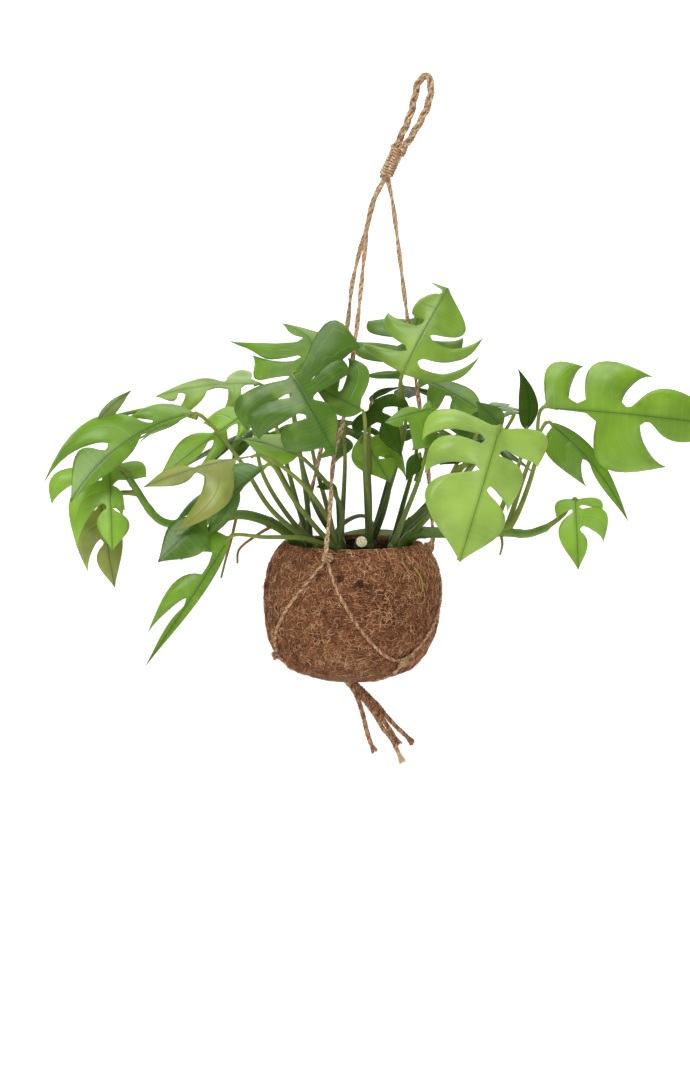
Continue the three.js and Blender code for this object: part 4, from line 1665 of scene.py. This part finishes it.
@dataclass
class MossBall:
    """The ball: its coconut fibre wrap, the soil inside, loose fibres and the cut stem."""

    workshop: Workshop
    radius: float = 75.0
    height: float = 116.5
    mouth: float = 56.0
    wall: float = 7.0
    flat_spot: float = 26.0
    soil_depth: float = 8.0
    fibre_shades: int = 8
    spin_steps: int = 120
    crumbs: int = 420

    def profile(self) -> list[Pair]:
        """Returns the wrap's outside, as radius and height from its mouth down."""
        r = self.radius
        return [
            (self.mouth + 3, 0.0), (self.mouth + 9, -7.0), (r - 4, -19.0), (r - 0.8, -34.0), (r, -50.0),
            (r - 2, -69.0), (r - 6, -82.0), (r - 13, -95.5), (r - 24, -107.5),
            (self.flat_spot, -self.height),
        ]

    def radius_at(self, height: float) -> float:
        """Measures the wrap.

        Args:
            height: The height from the mouth.

        Returns:
            Its outer radius there.
        """
        outline = self.profile()
        for (upper, top), (lower, bottom) in zip(outline, outline[1:]):
            if height >= bottom:
                return lower + (upper - lower) * (height - bottom) / (top - bottom)
        return self.flat_spot

    def on_wrap(self, angle: float, height: float, off: float) -> Vector:
        """Returns a point outside the wrap.

        Args:
            angle: The angle about the axis, in degrees from +X.
            height: The height from the mouth.
            off: The distance outside the wrap.

        Returns:
            The point in millimetres from the crown.
        """
        reach = self.radius_at(height) + off
        turn = math.radians(angle)
        return Vector((reach * math.cos(turn), reach * math.sin(turn), height))

    def beside(self, angle: float, height: float, off: float) -> Vector:
        """Returns a point square off the wrap's side.

        Args:
            angle: The angle about the axis, in degrees from +X.
            height: The height of the side's point from the mouth.
            off: The distance from that point.

        Returns:
            The point in millimetres from the crown.
        """
        outline = self.profile()
        pairs = zip(outline, outline[1:])
        (upper, top), (lower, bottom) = next(pair for pair in pairs if height >= pair[1][1])
        down = Vector((lower - upper, bottom - top)).normalized()
        reach = self.radius_at(height) - down.y * off
        turn = math.radians(angle)
        return Vector((reach * math.cos(turn), reach * math.sin(turn), height + down.x * off))

    def build(self) -> None:
        """Makes the wrap, its fibres, the soil and the cut stem."""
        finish = CoirFinish()
        self.workshop.piece("coir_wrap", self.wrap_mesh(), "coir", (finish.material(),), ("coir_wrap",))
        hair = finish.hair()
        for name, count, seed, loose in FIBRES:
            self.workshop.piece(name, self.fibre_mesh(count, seed, loose), "coir", (hair,))
        straw = CoirFinish(linear(156, 138, 68), linear(164, 146, 76), fibre_name="coir_straw")
        self.workshop.piece("coir_straw", self.straw_mesh(), "coir", (straw.hair(),))
        soil = SoilFinish().material()
        node = frame_object("soil_ball")
        node.data.materials.clear()
        node.data.materials.append(soil)
        self.workshop.piece("soil_crumbs", self.crumb_mesh(), "soil", (soil,))
        cut = CutFinish()
        sides = (cut.side(), cut.face())
        self.workshop.piece("cut_stem", self.cut_stem_mesh(), "cut_wood", sides, ("cut_stem",))

    def wrap_mesh(self) -> Mesh:
        """Returns the wrap: a closed wall spun round the axis, with a matted, uneven skin."""
        outside = smooth_line([(r, 0.0, z) for r, z in self.profile()], 46)
        lip = [(self.mouth + 1.0, 0.0, 0.9), (self.mouth - 1.5, 0.0, 0.2), (self.mouth - 3, 0.0, -2.5)]
        inner = [(self.radius_at(z) - self.wall, 0.0, z) for z in (-8, -16, -26, -40, -60, -80, -94, -104)]
        floor = -self.height + self.wall
        foot = (0.0, 0.0, -self.height)
        points = [foot, *reversed(outside), *lip, *inner, (18.0, 0.0, floor), (0.0, 0.0, floor)]
        shape = bmesh.new()
        verts = [shape.verts.new(Vector(point) * MILLI) for point in points]
        edges = [shape.edges.new(pair) for pair in zip(verts, verts[1:])]
        bmesh.ops.spin(
            shape, geom=verts + edges, cent=(0, 0, 0), axis=(0, 0, 1), angle=2 * math.pi,
            steps=self.spin_steps, use_merge=True,
        )
        closed_up(shape)
        for vert in shape.verts:
            point = vert.co / MILLI
            reach = math.hypot(point.x, point.y)
            outer = reach > self.radius_at(point.z) - 2.0 or point.z < -self.height + 1
            mat = noise.fractal(vert.co * 55, 1.0, 2.0, 3) * 1.1
            mat += noise.fractal(vert.co * 240, 1.0, 2.0, 2) * 0.5
            if outer and reach > 1:
                point += Vector((point.x / reach, point.y / reach, 0.0)) * (mat - 0.3)
            vert.co = placed(point)
        mesh = bpy.data.meshes.new("coir_wrap")
        shape.to_mesh(mesh)
        shape.free()
        return mesh

    def fibre_mesh(self, count: int, seed: int, loose: float) -> Mesh:
        """Makes fibres that lie on the wrap or stand a little off it.

        Args:
            count: How many fibres.
            seed: The seed of their places.
            loose: 0 for fibres that lie flat, 1 for hairs that stand off.

        Returns:
            Their mesh.
        """
        random = Random(seed)
        groups = [[] for _ in range(self.fibre_shades)]
        for i in range(count):
            strands = groups[i % self.fibre_shades]
            angle = random.uniform(0, 360)
            height = -self.height * (1 - random.random() ** 1.15) * 0.985 + 0.5
            heading = random.uniform(0, 2 * math.pi)
            bending = random.uniform(-0.95, 0.95)
            step = random.uniform(1.1, 2.6)
            top = random.uniform(0.3, 1.3) + loose * random.random() ** 4 * 5.0
            line = []
            for point in range(6):
                share = point / 5
                off = 0.1 + top * (share ** 1.5 if loose else math.sin(math.pi * share))
                line.append(self.on_wrap(angle, min(1.0, max(-self.height + 0.4, height)), off))
                reach = max(20.0, self.radius_at(height))
                angle += math.degrees(math.cos(heading) * step / reach)
                height += math.sin(heading) * step
                heading += bending + random.uniform(-0.25, 0.25)
            width = random.uniform(0.12, 0.23) * (0.8 if loose else 1.0)
            strands.append(Strand(line, [width * size for size in (1, 1, 1, 0.9, 0.7, 0.3)]))
        shape = bmesh.new()
        shade = shape.verts.layers.float.new("shade")
        for i, strands in enumerate(groups):
            known = len(shape.verts)
            mesh = tubes(strands, 4)
            shape.from_mesh(mesh)
            bpy.data.meshes.remove(mesh)
            shape.verts.ensure_lookup_table()
            for vert in shape.verts[known:]:
                vert[shade] = i / (self.fibre_shades - 1)
        mesh = bpy.data.meshes.new("coir_fibres")
        shape.to_mesh(mesh)
        shape.free()
        return mesh

    def straw_mesh(self) -> Mesh:
        """Returns the one thick yellow-green fibre that lies curled on the wrap's right side."""
        spots = ((318, -15), (321, -21), (323, -28), (322, -35), (318, -38), (315, -37))
        line = smooth_line([self.on_wrap(angle, height, 1.1) for angle, height in spots], 30)
        return tubes([thread(line, 0.85, 0.45)], 6)

    def crumb_mesh(self) -> Mesh:
        """Returns crumbs of soil strewn on top of the soil."""
        random = Random(5)
        shape = bmesh.new()
        for _ in range(self.crumbs):
            angle = random.uniform(0, 2 * math.pi)
            reach = (self.mouth - 5) * math.sqrt(random.random())
            size = random.uniform(0.7, 2.4)
            spot = Vector((reach * math.cos(angle), reach * math.sin(angle), -self.soil_depth + size * 0.25))
            spun = Matrix.Rotation(random.uniform(0, 3), 4, "Z")
            turn = spun @ Matrix.Rotation(random.uniform(0, 3), 4, "X")
            scale = Matrix.Diagonal((size * MILLI, size * 0.8 * MILLI, size * 0.6 * MILLI, 1.0))
            bmesh.ops.create_icosphere(
                shape, subdivisions=1, radius=1.0, matrix=Matrix.Translation(placed(spot)) @ turn @ scale
            )
        mesh = bpy.data.meshes.new("soil_crumbs")
        shape.to_mesh(mesh)
        shape.free()
        return mesh

    def cut_stem_mesh(self) -> Mesh:
        """Returns the old stem that was cut short, its face ringed."""
        line = smooth_line([(6, -30, -28), (6, -30, -14), (6, -30, -5), (7, -36, 4), (8, -48, 6.5)], 24)
        radii = [5.0 + 0.2 * math.sin(i * 1.3) for i in range(25)]
        mesh = tubes([Strand(line, radii)], 20)
        shape = bmesh.new()
        shape.from_mesh(mesh)
        bpy.data.meshes.remove(mesh)
        closed_up(shape)
        end = placed(line[-1])
        cap = [f for f in shape.faces if f.normal.y < -0.9 and (f.calc_center_median() - end).length < 0.006]
        bmesh.ops.inset_region(shape, faces=cap, thickness=0.0004, depth=0.0002)
        for face in cap:
            face.material_index = 1
        mesh = bpy.data.meshes.new("cut_stem")
        shape.to_mesh(mesh)
        shape.free()
        return mesh


def frame_object(name: str) -> Object:
    """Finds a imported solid.

    Args:
        name: The solid's name.

    Returns:
        Its object.
    """
    return bpy.data.objects[name]


class End(Enum):
    """What is at a cord's far end."""

    KNOT = "knot"
    BARE = "bare"
    OBJECT = "object"


@dataclass
class Hanger:
    """The jute hanger: the loop, its whipping, three legs, the net of knots and the frayed tails."""

    workshop: Workshop
    ball: MossBall
    finish: Material | None = None
    strand: float = 3.0
    tail_strand: float = 4.4
    pair: float = 4.4
    first_angle: float = 12.0
    shoulder_height: float = -7.0
    lower_height: float = -93.5
    shoulder_knot: float = 5.0
    lower_knot: float = 4.6
    seat: float = 3.2
    frayed: tuple[float, ...] = (0.6, 2.0, 0.6, 0.6)
    fray_fibres: int = 90
    net_drops: tuple[Pair, ...] = ((1.5, 1.3), (1.3, 1.6), (2.2, 1.1))
    single_pitch: float = 8.5
    doubled_pitch: float = 7.5
    tail_pitch: float = 9.0
    leg_turn: float = 62.0
    run_turn: float = 24.0
    net_gap: float = 0.3
    loop_steps: int = 180
    leg_steps: int = 300
    leg_seat: float = 0.15
    tail_steps: int = 90
    whip_foot: Point = (27.0, 0.0, 310.0)
    whip_head: Point = (41.0, 0.0, 339.0)
    loop_line: tuple[Pair, ...] = (
        (36, 334), (39.5, 342), (45, 354), (50, 367), (53, 380), (55.5, 390), (59, 395.2), (62.6, 396.6),
        (65.6, 393.5), (66.4, 386), (64.5, 374), (59, 361), (51.5, 348), (45, 338), (41, 330),
    )
    loop_lay: float = 2.0
    loop_pitch: float = 42.0

    def legs(self) -> dict[str, tuple[Point, ...]]:
        """Returns the routes of the three legs, from the whipping down."""
        return {
            "right": (
                (30.9, 0, 306.8), (34, 1, 292), (45, 5, 208), (55, 9, 135), (63, 12, 80), (68.5, 14, 20),
                (68.9, 14.7, -0.6),
            ),
            "left_back": (
                (26.8, 2.6, 309), (20, 5, 294), (1, 20, 225), (-5, 28, 178), (-26, 38, 80), (-38, 45, 30),
                (-47.2, 52.4, -0.6),
            ),
            "front": (
                (26.8, -2.6, 309), (18, -8, 294), (3, -28, 178), (-7, -42, 111), (-15, -50, 80),
                (-19, -61, 30), (-21.8, -67, -0.6),
            ),
        }

    def tails(self) -> dict[str, tuple[Point, ...]]:
        """Returns the routes of the four frayed tails, from the base knot down."""
        return {
            "tail_left": (
                (-4, -4, -117), (0, -6, -124), (4, -8, -131), (9, -8, -146), (12.6, -8, -161), (16, -8, -172),
                (19.6, -8, -180),
            ),
            "tail_long": (
                (-3, -2, -117), (4, -4, -126), (13, -6, -138), (20, -6, -148), (27, -6, -160),
                (33.5, -5, -168), (38.5, -4, -178), (43.6, -3, -190),
            ),
            "tail_short": (
                (-3, 0, -117), (6, -3, -126), (15, -4, -137), (23, -3, -147), (31, -1, -159), (36, 0, -167),
                (40.5, 1, -175),
            ),
            "tail_right": (
                (-3, 1, -117), (6, 0, -124), (16, -3, -133.5), (23, -1, -141), (30, 0, -150), (39, 1, -160),
                (46, 1, -166.5), (53, 1, -174),
            ),
        }

    def build(self) -> None:
        """Makes every cord and knot."""
        self.finish = JuteFinish().material()
        places = ("right", "left_back", "front")
        knots = {}
        for i, place in enumerate(places):
            angle = self.first_angle + THIRD_TURN * i
            shoulder = self.ball.beside(angle, self.shoulder_height, self.seat)
            lower = self.ball.beside(angle + THIRD_TURN / 2, self.lower_height, self.seat)
            for name, middle, size, turn in (
                (f"shoulder_knot_{place}", shoulder, self.shoulder_knot, i),
                (f"lower_knot_{place}", lower, self.lower_knot, i + 3),
            ):
                knots[name] = self.knot(name, middle, size, turn)
        knots["base_knot"] = self.bundle()
        whipping = self.whipping()
        loop = smooth_line([(x, 0.0, z) for x, z in self.loop_line], self.loop_steps)
        for i, name in enumerate(("loop_cord_front", "loop_cord_middle", "loop_cord_back")):
            route = helix(loop, self.loop_lay, self.loop_pitch, i / 3)
            self.twine(name, route)
        seated = Vector(self.whip_foot).lerp(Vector(self.whip_head), self.leg_seat)
        for i, (place, route) in enumerate(self.legs().items()):
            angle = self.first_angle + THIRD_TURN * i
            end = self.ball.beside(angle, self.shoulder_height, self.seat)
            line = smooth_line([seated, *route, end], self.leg_steps)
            shoulder = (knots[f"shoulder_knot_{place}"],)
            self.pair_of(f"leg_{place}", line, self.leg_turn)
        for i, (place, (first, second)) in enumerate(zip(places, self.net_drops)):
            angle = self.first_angle + THIRD_TURN * i
            half = THIRD_TURN / 2
            lower = (knots[f"lower_knot_{place}"],)
            self.twine(f"net_strand_{place}_a", self.net_route(angle, half, first))
            self.twine(f"net_strand_{place}_b", self.net_route(angle, -half, second))
            run = self.base_route(angle + half)
            self.pair_of(f"base_run_{place}", run, self.run_turn)
        for i, (name, route) in enumerate(self.tails().items()):
            self.tail(name, smooth_line(route, self.tail_steps), i)

    def plies(self, route: list[Vector], radius: float, pitch: float, phase: float = 0.0) -> list[Strand]:
        """Winds three plies into a twine.

        Args:
            route: The twine's middle line.
            radius: The twine's radius.
            pitch: The length of one turn.
            phase: The angle to start at, in turns.

        Returns:
            The plies as strands.
        """
        ply = radius * 0.49
        wound = []
        for i in range(3):
            line = helix(route, radius - ply, pitch, phase + i / 3, 0.12, i)
            sizes = [ply * (1 + 0.2 * noise.noise(point * 0.35)) for point in line]
            wound.append(Strand(line, sizes))
        return wound

    def fuzz(self, route: list[Vector], radius: float, count: int, seed: int) -> list[Strand]:
        """Makes short fibres that stand off a cord.

        Args:
            route: The cord's middle line.
            radius: The cord's radius.
            count: How many fibres.
            seed: The seed of their places.

        Returns:
            The fibres as strands.
        """
        random = Random(seed)
        frames = frames_along(route)
        hairs = []
        for _ in range(count):
            i = random.randrange(2, len(route) - 2)
            tangent, side, other = frames[i]
            turn = random.uniform(0, 2 * math.pi)
            out = side * math.cos(turn) + other * math.sin(turn)
            lean = tangent * random.choice((-1, 1)) * random.uniform(0.6, 1.6)
            size = random.uniform(0.6, 2.2)
            start = route[i] + out * (radius * 0.8)
            line = [start + (out * share + lean * share ** 0.8) * size for share in (0.0, 0.35, 0.7, 1.0)]
            hairs.append(Strand(line, [0.07, 0.06, 0.05, 0.02]))
        return hairs

    def cord_mesh(self, strands: list[Strand], hairs: list[Strand], pale: float = 0.8) -> Mesh:
        """Joins a cord's plies and its fuzz into one mesh.

        Args:
            strands: The plies.
            hairs: The fibres.
            pale: How pale the fibres are.

        Returns:
            The mesh.
        """
        shape = bmesh.new()
        shade = shape.verts.layers.float.new("shade")
        plies = [(strands[i::3], 6, i / 2) for i in range(3)]
        for group, sides, paleness in (*plies, (hairs, 4, pale)):
            if not group:
                continue
            known = len(shape.verts)
            mesh = tubes(group, sides)
            shape.from_mesh(mesh)
            bpy.data.meshes.remove(mesh)
            shape.verts.ensure_lookup_table()
            for vert in shape.verts[known:]:
                vert[shade] = paleness
        mesh = bpy.data.meshes.new("cord")
        shape.to_mesh(mesh)
        shape.free()
        return mesh

    def twine(self, name: str, route: list[Vector]) -> None:
        """Makes a single twine.

        Args:
            name: The cord's name.
            route: Its middle line.
        """
        radius = self.strand / 2
        fine = even(route, max(24, int(line_length(route) / 0.85)))
        strands = self.plies(fine, radius, self.single_pitch)
        seed = sum(map(ord, name))
        hairs = self.fuzz(fine, radius, int(line_length(route) * 1.1), seed)
        item = self.workshop.piece(name, self.cord_mesh(strands, hairs), "jute", (self.finish,), (name,))

    def pair_of(
        self, name: str, route: list[Vector], turn: float
    ) -> None:
        """Makes two twines that are laid loosely round each other.

        Args:
            name: The cord's name.
            route: Its middle line.
            turn: The length of one turn of the two.
        """
        radius = self.pair / 4 + 0.22
        fine = even(route, max(24, int(line_length(route) / 0.95)))
        strands = []
        for phase in (0.0, 0.5):
            own = helix(fine, self.pair / 2 - radius, turn, phase)
            strands += self.plies(own, radius, self.doubled_pitch, phase)
        hairs = self.fuzz(fine, self.pair / 2, int(line_length(route) * 1.2), sum(map(ord, name)))
        item = self.workshop.piece(name, self.cord_mesh(strands, hairs), "jute", (self.finish,), (name,))

    def net_route(self, angle: float, turn: float, drop: float) -> list[Vector]:
        """Lays a strand down the ball from a shoulder knot to a lower one.

        Args:
            angle: The shoulder knot's angle in degrees.
            turn: How far round the lower knot is.
            drop: How soon the strand falls.

        Returns:
            Its middle line.
        """
        fall = self.lower_height - self.shoulder_height
        line = []
        for i in range(25):
            share = i / 24
            height = self.shoulder_height + fall * (1 - (1 - share) ** drop)
            line.append(self.ball.beside(angle + turn * share, height, self.strand / 2 + self.net_gap))
        return smooth_line(line, 120)

    def base_route(self, angle: float) -> list[Vector]:
        """Lays the run from a lower knot to the base knot.

        Args:
            angle: The lower knot's angle in degrees.

        Returns:
            Its middle line in millimetres from the crown.
        """
        hug = self.pair / 2 - 0.2
        heights = (self.lower_height - 1, -98.0, -102.0, -106.0, -110.0, -113.5, -115.5)
        line = [self.ball.beside(angle, height, hug - 0.45 * i) for i, height in enumerate(heights)]
        turn = math.radians(angle)
        under = -self.ball.height + 0.9
        for reach in (17.0, 9.0, 3.0):
            line.append(Vector((reach * math.cos(turn), reach * math.sin(turn), under)))
        return smooth_line(line, 60)

    def knot(self, name: str, centre: Vector, size: float, turn: int) -> Object:
        """Ties a knot: two twines wound through each other in a ball.

        Args:
            name: The knot's name.
            centre: Its middle.
            size: Its radius.
            turn: Which way it is turned.

        Returns:
            Its piece.
        """
        strands = []
        lean = Matrix.Rotation(turn * 1.1, 3, "Z") @ Matrix.Rotation(0.3, 3, "X")
        thick = size * 0.32
        for lift in (-0.36, 0.36):
            ring = []
            for i in range(121):
                angle = 2 * math.pi * i / 120
                reach = 0.56 + 0.22 * math.cos(3 * angle)
                height = 0.42 * math.sin(3 * angle)
                spot = Vector((reach * math.cos(2 * angle), reach * math.sin(2 * angle), height))
                spot.z += lift * 0.5
                ring.append(centre + lean @ (spot * (size * 0.92)))
            strands += self.plies(ring, thick, 6.0, lift)
        mesh = self.cord_mesh(strands, self.fuzz(ring, thick, 30, turn + 40))
        return self.workshop.piece(name, mesh, "jute", (self.finish,), (name,))

    def bundle(self) -> Object:
        """Gathers the net's cords under the ball, where they leave it as one thick twist.

        Returns:
            Its piece.
        """
        route = (
            (-5, -1, -116), (-2, -1.5, -119), (2, -3, -123), (9, -4, -130.5), (16, -4.5, -139),
            (25, -5, -151),
        )
        line = smooth_line(route, 90)
        strands = []
        for i, cut in enumerate((0, 40, 12, 50, 26)):
            wound = helix(line, 2.9, 40.0, i / 5, 0.1, i)
            drawn = []
            for step, point in enumerate(wound):
                drawn.append(point.lerp(line[step], 0.7 * (step / len(line)) ** 2))
            strands += self.plies(drawn[: len(line) - cut], 1.9, 8.5, i * 0.2)
        mesh = self.cord_mesh(strands, self.fuzz(line, 4.6, 160, 91))
        return self.workshop.piece("base_knot", mesh, "jute", (self.finish,), ("base_knot",))

    def whipping(self) -> Object:
        """Binds the cords under the loop with a close winding over a core of strands.

        Returns:
            Its piece.
        """
        foot, head = Vector(self.whip_foot), Vector(self.whip_head)
        axis = even([foot, head], 80)
        length = (head - foot).length
        strands = []
        for i in range(6):
            core = helix(axis, 3.1, 90.0, i / 6)
            strands += self.plies(core, 1.5, 8.5, i * 0.13)
        wound = even([foot.lerp(head, 0.1), foot.lerp(head, 0.86)], 420)
        coil = helix(wound, 4.9, 2.5, 0.0, 0.05, 3)
        strands += self.plies(coil, 1.25, 6.0)
        flare = []
        for i in range(121):
            angle = 2 * math.pi * i / 120
            reach = 5.2 + 0.8 * math.cos(3 * angle + 1)
            spot = Vector((reach * math.cos(angle), reach * math.sin(angle), 1.2 * math.sin(2 * angle)))
            turned = (head - foot).to_track_quat("Z", "Y") @ spot
            flare.append(foot.lerp(head, (length - 4) / length) + turned)
        strands += self.plies(flare, 1.5, 8.0)
        mesh = self.cord_mesh(strands, self.fuzz(axis, 6.0, 120, 77))
        return self.workshop.piece("whipping", mesh, "jute", (self.finish,), ("whipping",))

    def tail(self, name: str, route: list[Vector], number: int) -> None:
        """Makes a hanging tail whose plies open into loose fibres at its end.

        Args:
            name: The tail's name.
            route: Its middle line.
            number: Its number, which seeds its fibres.
        """
        radius = self.tail_strand / 2
        body = route[: int(len(route) * 0.89)]
        strands = self.plies(body, radius, self.tail_pitch, number * 0.2)
        random = Random(30 + number)
        ends = route[int(len(route) * 0.8):]
        frames = frames_along(ends)
        fray = []
        for i in range(self.fray_fibres):
            turn = 2 * math.pi * (i % 3) / 3 + random.gauss(0.0, 0.3)
            spread = random.uniform(0.3, 1.1)
            cut = len(ends) - random.randrange(0, 5)
            line = []
            for step, (point, (_, side, other)) in enumerate(zip(ends[:cut], frames)):
                share = step / len(ends)
                away = radius * spread * (0.45 + 1.3 * share**2)
                line.append(point + side * (away * math.cos(turn)) + other * (away * math.sin(turn)))
            fray.append(thread(line, 0.38, 0.2))
        hairs = fray + self.fuzz(route, radius, 110, 60 + number)
        mesh = self.cord_mesh(strands, hairs, self.frayed[number])
        item = self.workshop.piece(name, mesh, "jute", (self.finish,), (name,))


@dataclass(frozen=True)
class Lamp:
    """One soft light: where it hangs in millimetres from the crown, its size and its power."""

    name: str
    place: Point
    size: float
    power: float


LAMPS = (
    Lamp("key_light", (-700, -1300, 1350), 0.9, 24.0),
    Lamp("fill_light", (1300, -1200, 500), 1.6, 5.0),
    Lamp("top_light", (100, 200, 1500), 1.2, 16.0),
)


@dataclass
class Studio:
    """The camera, the pale floor and the soft lights."""

    aim: Point = (-6.0, 0.0, 2.6)
    distance: float = 3500.0
    lens: float = 136.5
    sensor: float = 36.0
    floor_height: float = -360.0
    floor_half: float = 30.0
    floor_depth: float = 8.0
    wall_rise: float = 8.0
    cove: float = 1.2
    cove_steps: int = 24
    glow: Pair = (0.5, 0.85)
    glow_reach: Pair = (1.6, 3.6)
    lamp_aim: Point = (0.0, 0.0, 60.0)
    room_light: float = 0.17

    def camera(self) -> None:
        """Sets the camera where the photograph was taken from."""
        data = bpy.data.cameras.new("camera")
        data.lens = self.lens
        data.sensor_width = self.sensor
        data.sensor_height = self.sensor
        data.sensor_fit = "AUTO"
        item = bpy.data.objects.new("camera", data)
        tilt = math.radians(VIEW_TILT)
        away = Vector((0.0, -math.cos(tilt), math.sin(tilt))) * self.distance
        item.location = placed(Vector(self.aim) + away)
        item.rotation_euler = (-away).to_track_quat("-Z", "Y").to_euler()
        bpy.context.scene.collection.objects.link(item)
        bpy.context.scene.camera = item

    def floor(self) -> None:
        """Lays a pale floor that curves up behind the plant."""
        shape = bmesh.new()
        half, depth = self.floor_half, self.floor_depth
        low = placed((0.0, 0.0, self.floor_height)).z
        outline = ((-half, -half), (half, -half), (half, depth), (-half, depth))
        ground = shape.faces.new([shape.verts.new((x, y, low)) for x, y in outline])
        back = next(edge for edge in ground.edges if all(vert.co.y > 0 for vert in edge.verts))
        grown = bmesh.ops.extrude_edge_only(shape, edges=[back])
        upper = [item for item in grown["geom"] if isinstance(item, BMVert)]
        bmesh.ops.translate(shape, verts=upper, vec=(0, 0, self.wall_rise))
        bmesh.ops.bevel(
            shape, geom=[back], offset=self.cove, offset_type="OFFSET", segments=self.cove_steps,
            profile=0.5, affect="EDGES", material=-1,
        )
        mesh = bpy.data.meshes.new("studio_floor")
        shape.to_mesh(mesh)
        shape.free()
        bench = NodeBench("studio_paper", 0.95, 0.1)
        bench.surface.inputs["Emission Color"].default_value = (1.0, 1.0, 1.0, 1.0)
        reach = bench.add("ShaderNodeVectorMath", {"operation": "LENGTH"}, Vector=bench.object_place)
        glow = bench.ramp(reach.outputs["Value"], *self.glow_reach, *self.glow)
        bench.feed(bench.surface, "Emission Strength", glow)
        mesh.materials.append(bench.finish((0.86, 0.86, 0.86, 1.0), bench.noise(30.0), 0.0002, 0.1))
        for polygon in mesh.polygons:
            polygon.use_smooth = True
        item = bpy.data.objects.new("studio_floor", mesh)
        bpy.context.scene.collection.objects.link(item)
        item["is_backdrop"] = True

    def lights(self) -> None:
        """Hangs the soft lights and sets the even light of the room."""
        aim = placed(self.lamp_aim)
        for lamp in LAMPS:
            data = bpy.data.lights.new(lamp.name, "AREA")
            data.size = lamp.size
            data.energy = lamp.power
            item = bpy.data.objects.new(lamp.name, data)
            item.location = placed(lamp.place)
            item.rotation_euler = (aim - item.location).to_track_quat("-Z", "Y").to_euler()
            bpy.context.scene.collection.objects.link(item)
        world = bpy.data.worlds.new("studio_room")
        world.use_nodes = True
        background = world.node_tree.nodes["Background"]
        background.inputs["Color"].default_value = (1.0, 1.0, 1.0, 1.0)
        background.inputs["Strength"].default_value = self.room_light
        bpy.context.scene.world = world
        bpy.context.scene.view_settings.view_transform = "Standard"

    def build(self) -> None:
        """Sets up the studio."""
        self.camera()
        self.floor()
        self.lights()


def corners(bounds: Sequence[Sequence[float]]) -> list[list[float]]:
    """Turns a box's two corners into plain numbers.

    Args:
        bounds: The box.

    Returns:
        Its lowest and its highest corner.
    """
    return [[float(value) for value in corner] for corner in bounds]


def main(solids: list[list[float]]) -> None:
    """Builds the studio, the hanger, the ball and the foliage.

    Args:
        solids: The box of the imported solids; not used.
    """
    Studio().build()
    workshop = Workshop()
    ball = MossBall(workshop)
    Hanger(workshop, ball).build()
    ball.build()
    Foliage(workshop).build()
    LOG.info("%d pieces", workshop.visible)


if __name__ == "__main__":
    logging.basicConfig(level=logging.INFO, format="%(message)s")
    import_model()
    main(corners(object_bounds()))
